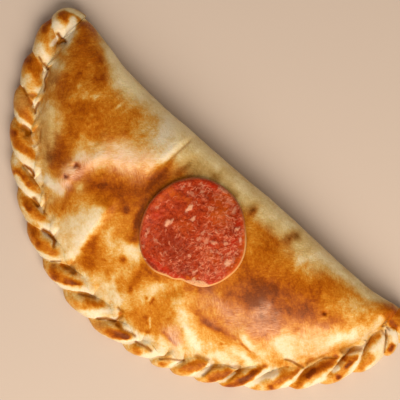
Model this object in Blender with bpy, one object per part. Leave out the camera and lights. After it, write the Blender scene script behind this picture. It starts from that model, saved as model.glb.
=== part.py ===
"""A folded, rope-crimped bread with one round slice of cured sausage on top. Metres, +Z up.

The fold runs along X on the +Y side and the crimped rim curves round the -Y side. The origin is on
the surface that the bread lies on, under the middle of its outline. Shapes are worked out in mm.
"""
import math

import bmesh
import bpy
import numpy as np
from mathutils import Vector
from mathutils.bvhtree import BVHTree

MM = 0.001

# The rope's centre line: half a superellipse that leans a little, curled in at both ends.
RIM_HALF_LENGTH = 106
RIM_DEPTH = 88.6
RIM_POWER = 1.88
RIM_END_Y = 42.7
RIM_LEAN = 2.4
CURL_Y = 38.9
CURL_RADIUS = 5.8
CURL_POWER = 2.6

# The fold's outline from tip to tip, x and y, and how it turns under.
FOLD_LINE = (
    (-98.8, 51.0), (-92, 51.0), (-88, 49.8), (-80, 48.5), (-70, 46.5), (-60, 45.7), (-40, 45.1),
    (-30, 46.0), (0, 46.5), (20, 47.2), (35, 47.5), (60, 47.3), (85, 47.7), (93, 49.4), (98.8, 51.0),
)
FOLD_EASE = 4
FOLD_UNDERCUT = 8
FOLD_UNDERCUT_SHARE = 0.6
FOLD_WIDEST_SHARE = 0.42

# Heights of the dome's ridge, and where the ridge lies from fold to rope.
RIDGE_MIDDLE = 30
RIDGE_TIP = 12.5
RIDGE_ROUNDING = 0.75
RIDGE_SHARE = 0.35
DOME_POWER = 2.1
DOME_SPACING = 1.35

# The rope: its axis' height, its lowest angle, and how deep and how far forward its crimps go.
ROPE_AXIS = 5.6
ROPE_END_ANGLE = -84
CREASE_DEPTH = 0.35
CREASE_LEAN = 0.03
SLANT_SHARE = 0.65
LIP_REACH = 1.0
FINGER_ANGLE = 18
FINGER_LENGTH = 2.4
PLAIN_END = (9, 3)

# Crimps from the left tip: each one's length along the rope, the rope's width, the slant of the
# crease that ends it, and the angle of its inner edge in degrees.
CRIMPS = (
    (11.5, 15.4, 6, 150), (15.5, 13.5, 5, 160), (16.5, 12.5, 7, 160), (13.5, 12.5, 6, 160),
    (19.5, 12.5, 12, 160), (15, 12.5, 10, 155), (16, 13, 10, 150), (17, 14, 9, 140),
    (17, 14.5, 10, 150), (18, 14.5, 11, 150), (17, 13.5, 8, 125), (14, 13, 8, 108),
    (8, 13, 5, 108), (12, 13, 6, 130), (12.5, 12.5, 8, 140), (13.5, 12.5, 11, 155),
    (19, 12.5, 8, 145), (16, 13, 13, 155), (14, 13.5, 10, 160), (14, 14, 7, 165),
    (6.5, 14, 5, 165), (7.6, 13.5, 0, 150),
)

# Broad swellings of the dome: centre x and y, radius along X and along Y, height.
SWELLINGS = (
    (-64, 22, 34, 26, 3.0),
    (58, 16, 40, 26, 2.0),
    (-38, -20, 20, 14, 1.5),
    (10, -38, 34, 10, -1.5),
    (92, 32, 8, 12, 1.5),
)
# Folds in the dough, soft on one side and steep on the other: ends, soft width, height.
PLEATS = (
    ((-26, 56), (-30, 18), 16, 2.4),
    ((-27, 22.5), (-51, 8), 14, 1.8),
    ((-51, 8), (-56, -13), 12, 1.6),
    ((-32, -5), (-30, -34), 9, 2.0),
    ((20, -13), (41, -32), 8, 1.6),
    ((51, -8), (67, -9), -7, 1.8),
)
PLEAT_STEEP_WIDTH = 2.5
PLEAT_FADE = 5
RELIEF_SPAN = 40

# The slice: where it lies, its size, and the notch in its edge.
SLICE_X = 6
SLICE_Y = 11.3
SLICE_RADIUS = 25.5
SLICE_THICKNESS = 2.6
SLICE_GAP = 0.4
SLICE_NOTCH_DEPTH = 0.085
SLICE_NOTCH_ANGLE = math.radians(-57)
SLICE_NOTCH_SPREAD = math.radians(13)
SLICE_EDGE_POWER = 0.8
SLICE_TOP_POWER = 0.25
SLICE_SIDES = 40
SLICE_RINGS = 18

ROWS_PER_CRIMP = 7
ROWS_CLOSER = 0.55
ROWS_CLOSEST = 0.97
TIP_RINGS = 3
TIP_HEIGHT_SHARE = 0.6
FOLD_COLUMNS = 6
DOME_COLUMNS = 12
ROPE_COLUMNS = 12
BASE_COLUMNS = 2
COLUMNS = FOLD_COLUMNS + DOME_COLUMNS + ROPE_COLUMNS + BASE_COLUMNS


def blend(start, end, share):
    return start + (end - start) * share


def step_between(low, high, value):
    """0 at low and 1 at high, smooth at both."""
    share = np.clip((value - low) / (high - low), 0, 1)
    return share * share * (3 - 2 * share)


def rim_line():
    """Points of the rope's centre line in plan, and their distances along it from the left end."""
    angle = np.linspace(0, math.pi, 3001)
    cosine, sine = np.cos(angle), np.sin(angle)
    across = -np.sign(cosine) * np.abs(cosine) ** (2 / RIM_POWER)
    lean = RIM_LEAN * across * (1 - across ** 2)
    y = RIM_END_Y - RIM_DEPTH * sine ** (2 / RIM_POWER) + lean
    line = np.stack([RIM_HALF_LENGTH * across, y], axis=-1)
    line = line[line[:, 1] < CURL_Y]
    turn = np.linspace(math.pi / 2, 0, 60)[:-1, None]
    curl = np.concatenate([1 - np.cos(turn) ** (2 / CURL_POWER), np.sin(turn) ** (2 / CURL_POWER)], axis=1)
    left = np.array([line[0, 0], CURL_Y]) + CURL_RADIUS * curl
    line = np.concatenate([left, line, left[::-1] * [-1, 1]])
    return line, np.concatenate([[0], np.cumsum(np.linalg.norm(np.diff(line, axis=0), axis=1))])


RIM, RIM_DISTANCE = rim_line()
RIM_LENGTH = RIM_DISTANCE[-1]
LENGTHS, WIDTHS, SLANTS, INNER_ANGLES = np.array(CRIMPS, dtype=float).T
CREASES = np.concatenate([[0], np.cumsum(LENGTHS)]) * RIM_LENGTH / LENGTHS.sum()
MIDDLES = (CREASES[1:] + CREASES[:-1]) / 2


def rim_at(distance):
    """Place on the rope's centre line, its outward and its forward direction."""

    def point(at):
        return np.stack([np.interp(at, RIM_DISTANCE, values) for values in RIM.T], axis=-1)

    step = point(np.minimum(distance + 1, RIM_LENGTH)) - point(np.maximum(distance - 1, 0))
    step /= np.linalg.norm(step, axis=-1, keepdims=True)
    return point(distance), np.stack([step[..., 1], -step[..., 0]], axis=-1), step


def from_ends(distance):
    return np.minimum(distance, RIM_LENGTH - distance)


def slanted_distance(number, across):
    """Distance along the rope of a crimp number: ahead at the inner edge, behind at the outer one."""
    numbers = np.arange(len(CREASES))
    slant = np.interp(number, numbers, np.concatenate([[0], SLANTS]))
    return np.clip(np.interp(number, numbers, CREASES) - SLANT_SHARE * slant * across, 0, RIM_LENGTH)


def crimp_profile(share, across):
    """From 0 in a crease up over the crimp's back, sloping down outwards, and steeply off its lip."""
    outer = (1 + across) / 2
    lowered = blend(0.25, 0.65, outer) * step_between(0.5, 0.95, share)
    lip = np.clip((share - 0.9) / 0.1, 0, 1) ** 2
    return step_between(-0.05, blend(0.5, 0.36, outer), share) * (1 - lowered) * (1 - lip)


def lip_share(share):
    """1 along the lip of a crimp and 0 elsewhere."""
    return step_between(0.45, 0.82, share) * (1 - np.clip((share - 0.88) / 0.12, 0, 1) ** 2)


def fold_at(distance):
    """Place on the fold's outline and the ridge's height there."""
    share = distance / RIM_LENGTH
    x = FOLD_LINE[-1][0] * blend(2 * share - 1, -np.cos(math.pi * share), 0.5)
    places, heights = np.array(FOLD_LINE).T
    shifts = np.linspace(-FOLD_EASE, FOLD_EASE, 5)
    y = sum(np.interp(x + shift, places, heights) for shift in shifts) / len(shifts)
    ridge = blend(RIDGE_TIP, RIDGE_MIDDLE, np.sin(math.pi * share) ** RIDGE_ROUNDING)
    return np.stack([x, y], axis=-1), ridge


def dome_relief(x, y):
    """Height that the swellings and pleats add to the dome."""
    height = np.zeros(x.shape)
    for centre_x, centre_y, radius_x, radius_y, swell in SWELLINGS:
        height += swell * np.exp(-((x - centre_x) / radius_x) ** 2 - ((y - centre_y) / radius_y) ** 2)
    for start, end, soft_width, rise in PLEATS:
        run_x, run_y = end[0] - start[0], end[1] - start[1]
        run = math.hypot(run_x, run_y)
        along = ((x - start[0]) * run_x + (y - start[1]) * run_y) / run
        across = ((x - start[0]) * run_y - (y - start[1]) * run_x) / run * math.copysign(1, soft_width)
        width = np.where(across > 0, abs(soft_width), PLEAT_STEEP_WIDTH)
        beyond = np.maximum(0, np.abs(along - run / 2) - run / 2 + 4)
        height += rise * np.exp(-(across / width) ** 2 - (beyond / PLEAT_FADE) ** 2)
    return height


def rope_part(number, angle):
    """Plan and height of a tube whose radius sinks at each crease, with its lips pushed forward."""
    across = np.cos(angle)
    distance = slanted_distance(number, across)
    share = np.mod(number, 1)
    centre, outward, forward = rim_at(distance)
    profile = np.maximum(crimp_profile(share, across), step_between(*PLAIN_END, from_ends(distance)))
    depth = (CREASE_DEPTH - CREASE_LEAN * across) * step_between(-0.85, -0.2, np.sin(angle))
    radius = np.interp(distance, MIDDLES, WIDTHS) / 2 * (1 - depth * (1 - profile))
    reach = LIP_REACH * lip_share(share) * step_between(-0.3, 0.3, np.sin(angle))
    plan = centre + outward * (radius * across)[..., None] + forward * reach[..., None]
    return plan, np.maximum(0, ROPE_AXIS + radius * np.sin(angle))


def body_part(number, inner_angle, groove_angle):
    """Plan and height of the fold, as two quarter ellipses, and of the dome down to the rope."""
    rise = np.radians(np.linspace(-90, 90, FOLD_COLUMNS + 1)[:-1])[None, :]
    fall = 1 - (1 - np.linspace(0, 1, DOME_COLUMNS + 1)[None, :-1]) ** DOME_SPACING
    fall = np.concatenate([np.zeros(rise.shape), fall], axis=1)
    rise = np.concatenate([rise, np.full((1, DOME_COLUMNS), math.pi / 2)], axis=1)
    distance = slanted_distance(number, np.cos(groove_angle) * step_between(0.6, 1, fall))
    fold, ridge = fold_at(distance)
    centre, outward, _ = rim_at(distance)
    radius = np.interp(distance, MIDDLES, WIDTHS) / 2
    even_angle = np.radians(np.interp(distance, MIDDLES, INNER_ANGLES))
    groove = centre + outward * (0.9 * radius * np.cos(even_angle))[..., None]
    groove_height = ROPE_AXIS + 0.85 * radius * np.sin(even_angle)
    span = np.linalg.norm(groove - fold, axis=-1)
    undercut = np.minimum(FOLD_UNDERCUT, FOLD_UNDERCUT_SHARE * span)
    inset = np.where(rise < 0, undercut, RIDGE_SHARE * span)
    widest = FOLD_WIDEST_SHARE * ridge
    fold_height = widest + np.where(rise < 0, widest, ridge - widest) * np.sin(rise)
    share = np.where(fall > 0, blend(RIDGE_SHARE, 1, fall), inset * (1 - np.cos(rise)) / span)
    height = np.where(fall > 0, blend(ridge, groove_height, fall ** DOME_POWER), fold_height)
    plan = fold + (groove - fold) * share[..., None]

    edge_plan, edge_height = rope_part(number, groove_angle)
    by_rope = np.exp(-(span * (1 - share) / FINGER_LENGTH) ** 2)
    plan = plan + (edge_plan - groove[:, -1:]) * by_rope[..., None]
    height = np.maximum(0, height + (edge_height - groove_height[:, -1:]) * by_rope)
    upward = np.clip(np.sin(rise), 0, 1) * np.minimum(1, (1 - fall) * 4) * np.clip(span / RELIEF_SPAN, 0, 1)
    return plan, height + dome_relief(plan[..., 0], plan[..., 1]) * upward


def tip_rings(section):
    """Rings that draw an end section in to a point."""
    middle = np.append(section[:, :2].mean(axis=0), TIP_HEIGHT_SHARE * section[:, 2].max())
    share = np.linspace(1, 0, TIP_RINGS + 1)[1:, None, None]
    return middle + (section - middle) * share


def dough_surface():
    """The dough as rings of points, each along one line of the crimps, from the left tip to the right."""
    number = np.linspace(0, len(CRIMPS), len(CRIMPS) * ROWS_PER_CRIMP + 1)[:, None]
    closer = np.sin(math.tau * (number - ROWS_CLOSEST)) - math.sin(-math.tau * ROWS_CLOSEST)
    number = number - ROWS_CLOSER * closer / math.tau
    middle = np.interp(number, np.arange(len(CREASES)), CREASES)
    inner = np.interp(middle, MIDDLES, INNER_ANGLES)
    finger = FINGER_ANGLE * lip_share(np.mod(number, 1)) * step_between(0, 14, from_ends(middle))
    groove = np.radians(inner - finger)
    angle = blend(groove, math.radians(ROPE_END_ANGLE), np.linspace(0, 1, ROPE_COLUMNS)[None, :])
    rope_plan, rope_height = rope_part(number, angle)
    body_plan, body_height = body_part(number, inner, groove)
    base_share = np.linspace(0, 1, BASE_COLUMNS + 2)[None, 1:-1, None]
    base_plan = blend(rope_plan[:, -1:], body_plan[:, :1], base_share)
    plan = np.concatenate([body_plan, rope_plan, base_plan], axis=1)
    height = np.concatenate([body_height, rope_height, np.zeros(base_plan.shape[:2])], axis=1)
    rows = np.concatenate([plan, height[..., None]], axis=-1)
    return np.concatenate([tip_rings(rows[0])[::-1], rows, tip_rings(rows[-1])])


def material(name, colour, roughness):
    made = bpy.data.materials.new(name)
    made.use_nodes = True
    shader = made.node_tree.nodes["Principled BSDF"]
    shader.inputs["Base Color"].default_value = (*colour, 1)
    shader.inputs["Roughness"].default_value = roughness
    shader.inputs["Metallic"].default_value = 0
    return made


def reshaped_sphere(name, sides, rings, place, made_of, collection):
    """A UV sphere whose vertices are moved by place(side number, ring number), in mm."""
    shape = bmesh.new()
    bmesh.ops.create_uvsphere(shape, u_segments=sides, v_segments=rings, radius=1)
    for vertex in shape.verts:
        side = round(math.atan2(vertex.co.y, vertex.co.x) / math.tau * sides) % sides
        ring = round(math.acos(max(-1, min(1, vertex.co.z))) / math.pi * rings)
        vertex.co = Vector(place(side, ring)) * MM
    if shape.calc_volume(signed=True) < 0:
        bmesh.ops.reverse_faces(shape, faces=shape.faces)
    mesh = bpy.data.meshes.new(name)
    shape.to_mesh(mesh)
    shape.free()
    mesh.materials.append(made_of)
    piece = bpy.data.objects.new(name, mesh)
    collection.objects.link(piece)
    return piece


def folded_dough(collection):
    surface = dough_surface()
    crust = material("baked_crust", (0.60, 0.33, 0.12), 0.45)
    return reshaped_sphere("folded_dough", COLUMNS, len(surface) - 1,
                           lambda side, ring: surface[ring, side], crust, collection)


def sausage_slice(dough, collection):
    """A thin disc with a rounded edge that lies along the dome, a small gap above the dough."""
    dome = BVHTree.FromPolygons([v.co for v in dough.data.vertices],
                                [p.vertices for p in dough.data.polygons])

    def place(side, ring):
        around = side / SLICE_SIDES * math.tau
        turn = ring / SLICE_RINGS * math.pi
        away = math.remainder(around - SLICE_NOTCH_ANGLE, math.tau) / SLICE_NOTCH_SPREAD
        reach = SLICE_RADIUS * (1 - SLICE_NOTCH_DEPTH * math.exp(-away ** 2))
        radius = reach * math.sin(turn) ** SLICE_EDGE_POWER
        x = SLICE_X + radius * math.cos(around)
        y = SLICE_Y + radius * math.sin(around)
        under = dome.ray_cast(Vector((x * MM, y * MM, 1)), Vector((0, 0, -1)))[0].z / MM
        rise = 0.5 + 0.5 * math.copysign(abs(math.cos(turn)) ** SLICE_TOP_POWER, math.cos(turn))
        return x, y, under + SLICE_GAP + SLICE_THICKNESS * rise

    cured = material("cured_sausage", (0.42, 0.06, 0.03), 0.3)
    return reshaped_sphere("sausage_slice", SLICE_SIDES, SLICE_RINGS, place, cured, collection)


def main():
    for old in list(bpy.data.objects):
        bpy.data.objects.remove(old, do_unlink=True)
    collection = bpy.data.collections.new("folded_bread")
    bpy.context.scene.collection.children.link(collection)
    dough = folded_dough(collection)
    sausage_slice(dough, collection)


main()
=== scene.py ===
import math

import bpy
import numpy as np
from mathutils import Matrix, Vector


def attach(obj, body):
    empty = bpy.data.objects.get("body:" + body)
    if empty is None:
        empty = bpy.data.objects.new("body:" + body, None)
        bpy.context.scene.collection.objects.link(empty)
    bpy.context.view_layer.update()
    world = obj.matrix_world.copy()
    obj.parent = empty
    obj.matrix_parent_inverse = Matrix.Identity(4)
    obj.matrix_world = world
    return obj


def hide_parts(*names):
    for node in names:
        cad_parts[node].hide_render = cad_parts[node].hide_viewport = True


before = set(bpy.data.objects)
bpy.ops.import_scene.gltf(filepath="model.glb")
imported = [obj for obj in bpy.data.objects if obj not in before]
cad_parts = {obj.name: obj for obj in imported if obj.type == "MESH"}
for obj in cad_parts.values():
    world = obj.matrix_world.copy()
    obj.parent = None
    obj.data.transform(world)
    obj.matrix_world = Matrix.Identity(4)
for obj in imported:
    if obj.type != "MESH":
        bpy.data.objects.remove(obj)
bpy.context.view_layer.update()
mm = 0.001  # shapes are worked out in mm and put into the scene in metres
noiseCells = 32  # the noise repeats after so many cells


def hexToLinear(colour):
    # an sRGB hex colour turned to the linear values that a shader takes
    parts = [int(colour[at:at + 2], 16) / 255 for at in (1, 3, 5)]
    return tuple(c / 12.92 if c <= 0.04045 else ((c + 0.055) / 1.055) ** 2.4 for c in parts) + (1,)


def between(low, high, value):
    # 0 at low, 1 at high, and 3t^2 - 2t^3 between them
    t = np.clip((value - low) / (high - low), 0, 1)
    return t * t * (3 - 2 * t)


def mix(start, end, share):
    return start + (end - start) * share


def softNoise(points, size, seed):
    # random numbers on a cubic lattice of this size, blended along each axis with 3t^2 - 2t^3: -1 to 1
    table = np.random.default_rng(seed).random((noiseCells, noiseCells, noiseCells)) * 2 - 1
    cell = points / size
    low = np.floor(cell).astype(int)
    t = between(0, 1, cell - low)
    total = np.zeros(points.shape[:-1])
    for corner in np.ndindex(2, 2, 2):
        weight = np.prod(np.where(np.array(corner) == 1, t, 1 - t), axis=-1)
        x, y, z = np.moveaxis((low + corner) % noiseCells, -1, 0)
        total += weight * table[x, y, z]
    return total


def noiseSum(points, noises):
    # soft noises added up, each given by its size, amount and seed
    return sum(amount * softNoise(points, size, seed) for size, amount, seed in noises)


def softSpot(x, y, spot):
    # exp(-r^2) over a turned oval: its x, y, two radii, and turn in degrees
    centreX, centreY, radiusX, radiusY, turn = spot
    cosine, sine = math.cos(math.radians(turn)), math.sin(math.radians(turn))
    along = (x - centreX) * cosine + (y - centreY) * sine
    across = (y - centreY) * cosine - (x - centreX) * sine
    return np.exp(-(along / radiusX) ** 2 - (across / radiusY) ** 2)


def softStroke(x, y, width, places):
    # exp(-(d / width)^2) of the distance d to a line through the places, or to the only place
    nearest = np.hypot(x - places[0][0], y - places[0][1])
    for (startX, startY), (endX, endY) in zip(places[:-1], places[1:]):
        runX, runY = endX - startX, endY - startY
        share = np.clip(((x - startX) * runX + (y - startY) * runY) / (runX ** 2 + runY ** 2), 0, 1)
        nearest = np.minimum(nearest, np.hypot(x - startX - share * runX, y - startY - share * runY))
    return np.exp(-(nearest / width) ** 2)


dough = dict(  # lengths in mm, angles in degrees
    rowsPerCrimp=32, foldColumns=16, domeColumns=66, ropeColumns=48, baseColumns=6, tipRings=5,
    rowsCloser=0.55, rowsShift=0.03, columnsCloser=1.35,  # rows bunch at the creases, columns at the rope
    rimSteps=4001, curlSteps=60, farFromRope=99,
    # the rope's centre line: half a superellipse, cut near its ends and curled in with a small radius
    rimHalfLength=106, rimDepth=88.6, rimPower=1.88, rimEndY=42.7, rimLean=2.4,
    curlY=38.9, curlRadius=5.8, curlPower=2.6,
    # the fold's outline from tip to tip, smoothed over a few mm
    foldLine=[(-99.9, 51), (-92, 51), (-88, 49.8), (-80, 48.5), (-70, 46.5), (-60, 45.7), (-40, 45.1),
              (-30, 46), (0, 46.5), (20, 47.2), (35, 47.5), (60, 47.3), (85, 47.7), (93, 49.4), (99.9, 51)],
    foldSmoothing=(-4, -2, 0, 2, 4), foldUndercut=8, undercutShare=0.6, foldWidestShare=0.42,
    ridgeMiddle=30, ridgeTip=12.5, ridgePower=0.75, ridgeShare=0.35, domePower=2.1,
    ropeAxis=5.6, ropeEndAngle=-84, grooveOut=0.9, grooveUp=0.85,  # the groove between dome and rope
    # crimps from the left tip: length, rope width, slant of the crease that ends it, angle of the inner edge
    crimps=[(11.5, 15.4, 6, 150), (15.5, 13.5, 5, 160), (16.5, 12.5, 7, 160), (13.5, 12.5, 6, 160),
            (19.5, 12.5, 12, 160), (15, 12.5, 10, 155), (16, 13, 10, 150), (17, 14, 9, 140),
            (17, 14.5, 10, 150), (18, 14.5, 11, 150), (17, 13.5, 8, 125), (14, 13, 8, 108), (8, 13, 5, 108),
            (12, 13, 6, 130), (12.5, 12.5, 8, 140), (13.5, 12.5, 11, 155), (19, 12.5, 8, 145),
            (16, 13, 13, 155), (14, 13.5, 10, 160), (14, 14, 7, 165), (6.5, 14, 5, 165), (7.6, 13.5, 0, 150)],
    slantShare=0.65, slantFrom=0.6,  # the dome slants with the crimps from this share of the way to the rope
    # over one crimp, 0 at its crease and 1 at the next: where it has risen and how far it slopes down, at its
    # inner and outer edge, where that slope runs, where its lip drops, and where the lip is pushed forward
    risenFrom=-0.05, risen=(0.5, 0.36), lowered=(0.25, 0.65), slope=(0.5, 0.95), lipDrop=0.9,
    lipSpan=(0.45, 0.82, 0.88),
    creaseDepth=0.35, creaseLean=0.03, lipReach=1.5, plainEnd=(9, 3),
    creaseSides=(-0.85, -0.2), lipSides=(-0.3, 0.3),  # sines of the angles between which they fade in
    fingerAngle=18, fingerLength=2.4, fingerFrom=14,  # tongues of dough from the lips onto the dome
    # broad swellings of the dome: x, y, two radii, turn in degrees, height
    swellings=[(-64, 22, 34, 26, 0, 3.0), (58, 16, 40, 26, 0, 2.0), (-38, -20, 20, 14, 0, 1.5),
               (10, -38, 34, 10, 0, -1.5), (92, 32, 8, 12, 0, 1.5)],
    # folds, soft on one side and steep on the other: two ends, soft width (its sign is the side), height
    pleats=[((-26, 56), (-30, 18), 16, 2.4), ((-27, 22.5), (-51, 8), 14, 1.8),
            ((-51, 8), (-56, -13), 12, 1.6), ((-32, -5), (-30, -34), 9, 2.0), ((20, -13), (41, -32), 8, 1.6),
            ((51, -8), (67, -9), -7, 1.8), ((-23.5, 30), (-17, 47), -5, 0.9)],
    pleatFade=(4, 5), steepWidth=2.5, tipBlend=3.5,
    reliefFrom=40, reliefFade=0.25,  # they weaken where the dome is narrower, and over this share by the rope
)


def rimLine():
    # half a superellipse, x = -a cos^(2/p) and y = end - b sin^(2/p) + lean t(1 - t^2) with t = x / a, and a
    # quarter of a smaller one at each end; gives the places and the distance along them
    angle = np.linspace(0, math.pi, dough["rimSteps"])
    cosine, sine, power = np.cos(angle), np.sin(angle), 2 / dough["rimPower"]
    line = np.stack([-dough["rimHalfLength"] * np.sign(cosine) * np.abs(cosine) ** power,
                     dough["rimEndY"] - dough["rimDepth"] * np.abs(sine) ** power], axis=-1)
    across = line[:, 0] / dough["rimHalfLength"]
    line[:, 1] += dough["rimLean"] * across * (1 - across ** 2)
    line = line[line[:, 1] < dough["curlY"]]
    turn, power = np.linspace(math.pi / 2, 0, dough["curlSteps"])[:-1, None], 2 / dough["curlPower"]
    curl = dough["curlRadius"] * np.concatenate([1 - np.cos(turn) ** power, np.sin(turn) ** power], axis=1)
    left = np.array([line[0, 0], dough["curlY"]]) + curl
    line = np.concatenate([left, line, left[::-1] * [-1, 1]])
    return line, np.concatenate([[0], np.cumsum(np.linalg.norm(np.diff(line, axis=0), axis=1))])


rim, rimDistance = rimLine()
rimLength = rimDistance[-1]
crimpLengths, crimpWidths, crimpSlants, innerAngles = np.array(dough["crimps"], dtype=float).T
creases = np.concatenate([[0], np.cumsum(crimpLengths)]) * rimLength / crimpLengths.sum()
crimpMiddles = (creases[1:] + creases[:-1]) / 2


def rimAt(distance):
    # place on the rope's centre line, outward direction and forward direction, by distance from the left end
    def point(at):
        return np.stack([np.interp(at, rimDistance, values) for values in rim.T], axis=-1)
    step = point(np.minimum(distance + 1, rimLength)) - point(np.maximum(distance - 1, 0))
    step /= np.linalg.norm(step, axis=-1, keepdims=True)
    return point(distance), np.stack([step[..., 1], -step[..., 0]], axis=-1), step


def fromEnds(distance):
    return np.minimum(distance, rimLength - distance)


def slantedDistance(number, across):
    # distance along the rope of a crimp number: ahead at the inner edge (across -1), behind at the outer (+1)
    numbers = np.arange(len(creases))
    slant = np.interp(number, numbers, np.concatenate([[0], crimpSlants]))
    distance = np.interp(number, numbers, creases) - dough["slantShare"] * slant * across
    return np.clip(distance, 0, rimLength)


def crimpProfile(share, across):
    # 0 in a crease: rises with 3t^2 - 2t^3, slopes down, more at the outer edge, and drops as t^2 at the lip
    outer = (1 + across) / 2
    lowered = mix(*dough["lowered"], outer) * between(*dough["slope"], share)
    lip = np.clip((share - dough["lipDrop"]) / (1 - dough["lipDrop"]), 0, 1) ** 2
    risen = between(dough["risenFrom"], mix(*dough["risen"], outer), share)
    return risen * (1 - lowered) * (1 - lip)


def lipShare(share):
    # 1 along the lip of a crimp and 0 elsewhere
    start, full, end = dough["lipSpan"]
    return between(start, full, share) * (1 - np.clip((share - end) / (1 - end), 0, 1) ** 2)


def foldAt(distance):
    # place on the fold's outline, halfway between even steps and cosine steps from tip to tip, and the height
    # of the ridge, tip + (middle - tip) sin^p
    share = distance / rimLength
    x = mix(2 * share - 1, -np.cos(math.pi * share), 0.5) * -dough["foldLine"][0][0]
    places, heights = np.array(dough["foldLine"]).T
    y = np.mean([np.interp(x + shift, places, heights) for shift in dough["foldSmoothing"]], axis=0)
    ridge = mix(dough["ridgeTip"], dough["ridgeMiddle"], np.sin(math.pi * share) ** dough["ridgePower"])
    return np.stack([x, y], axis=-1), ridge


def domeRelief(x, y):
    # swellings as exp(-r^2), and folds that fall off as exp(-d^2) with a soft and a steep width
    height = np.zeros(x.shape)
    for *spot, swell in dough["swellings"]:
        height += swell * softSpot(x, y, spot)
    early, fade = dough["pleatFade"]
    for start, end, softWidth, rise in dough["pleats"]:
        runX, runY = end[0] - start[0], end[1] - start[1]
        run = math.hypot(runX, runY)
        along = ((x - start[0]) * runX + (y - start[1]) * runY) / run
        across = ((x - start[0]) * runY - (y - start[1]) * runX) / run * math.copysign(1, softWidth)
        width = np.where(across > 0, abs(softWidth), dough["steepWidth"])
        beyond = np.maximum(0, np.abs(along - run / 2) - run / 2 + early)
        height += rise * np.exp(-(across / width) ** 2 - (beyond / fade) ** 2)
    return height


def ropePart(number, angle):
    # a tube round the centre line whose radius sinks at each crease, with its lips pushed forward
    cosine, sine = np.cos(angle), np.sin(angle)
    distance = slantedDistance(number, cosine)
    share = np.mod(number, 1)
    centre, outward, forward = rimAt(distance)
    profile = np.maximum(crimpProfile(share, cosine), between(*dough["plainEnd"], fromEnds(distance)))
    depth = (dough["creaseDepth"] - dough["creaseLean"] * cosine) * between(*dough["creaseSides"], sine)
    radius = np.interp(distance, crimpMiddles, crimpWidths) / 2 * (1 - depth * (1 - profile))
    reach = dough["lipReach"] * lipShare(share) * between(*dough["lipSides"], sine)
    plan = centre + outward * (radius * cosine)[..., None] + forward * reach[..., None]
    return plan, np.maximum(0, dough["ropeAxis"] + radius * sine)


def bodyPart(number, grooveAngle):
    # the fold as two quarter ellipses, then the dome, z = ridge to groove as t^p, which meets the rope's edge
    rise = np.radians(np.linspace(-90, 90, dough["foldColumns"] + 1)[:-1])[None, :]
    fall = 1 - (1 - np.linspace(0, 1, dough["domeColumns"] + 1)[None, :-1]) ** dough["columnsCloser"]
    fall = np.concatenate([np.zeros(rise.shape), fall], axis=1)
    rise = np.concatenate([rise, np.full((1, dough["domeColumns"]), math.pi / 2)], axis=1)
    distance = slantedDistance(number, np.cos(grooveAngle) * between(dough["slantFrom"], 1, fall))
    fold, ridge = foldAt(distance)
    centre, outward, _ = rimAt(distance)
    radius = np.interp(distance, crimpMiddles, crimpWidths) / 2
    evenAngle = np.radians(np.interp(distance, crimpMiddles, innerAngles))
    groove = centre + outward * (dough["grooveOut"] * radius * np.cos(evenAngle))[..., None]
    grooveHeight = dough["ropeAxis"] + dough["grooveUp"] * radius * np.sin(evenAngle)
    span = np.linalg.norm(groove - fold, axis=-1)
    undercut = np.minimum(dough["foldUndercut"], dough["undercutShare"] * span)
    inset = np.where(rise < 0, undercut, dough["ridgeShare"] * span)
    widest = dough["foldWidestShare"] * ridge
    sideHeight = widest + np.where(rise < 0, widest, ridge - widest) * np.sin(rise)
    onDome = fall > 0
    share = np.where(onDome, mix(dough["ridgeShare"], 1, fall), inset * (1 - np.cos(rise)) / span)
    height = np.where(onDome, mix(ridge, grooveHeight, fall ** dough["domePower"]), sideHeight)
    plan = fold + (groove - fold) * share[..., None]

    edgePlan, edgeHeight = ropePart(number, grooveAngle)
    byRope = np.exp(-(span * (1 - share) / dough["fingerLength"]) ** 2)
    plan = plan + (edgePlan - groove[:, -1:]) * byRope[..., None]
    height = height + (edgeHeight - grooveHeight[:, -1:]) * byRope
    # near each tip it rises to the round top of the rope's end, r^2 = y^2 + z^2, and falls off with exp(-x^2)
    endX, endY = rim[0]
    endRadius = np.where(plan[..., 0] < 0, crimpWidths[0], crimpWidths[-1]) / 2
    endTop = dough["ropeAxis"] + np.sqrt(np.maximum(0, endRadius ** 2 - (plan[..., 1] - endY) ** 2))
    byTip = np.exp(-((np.abs(plan[..., 0]) + endX) / dough["tipBlend"]) ** 2) * (rise > 0)
    height = height + np.maximum(0, endTop - height) * byTip
    upward = np.clip(np.sin(rise), 0, 1) * np.minimum(1, (1 - fall) / dough["reliefFade"])
    upward = upward * np.clip(span / dough["reliefFrom"], 0, 1)
    height = height + domeRelief(plan[..., 0], plan[..., 1]) * upward
    return plan, height, dict(rise=rise, toRope=span * (1 - share))


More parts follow.
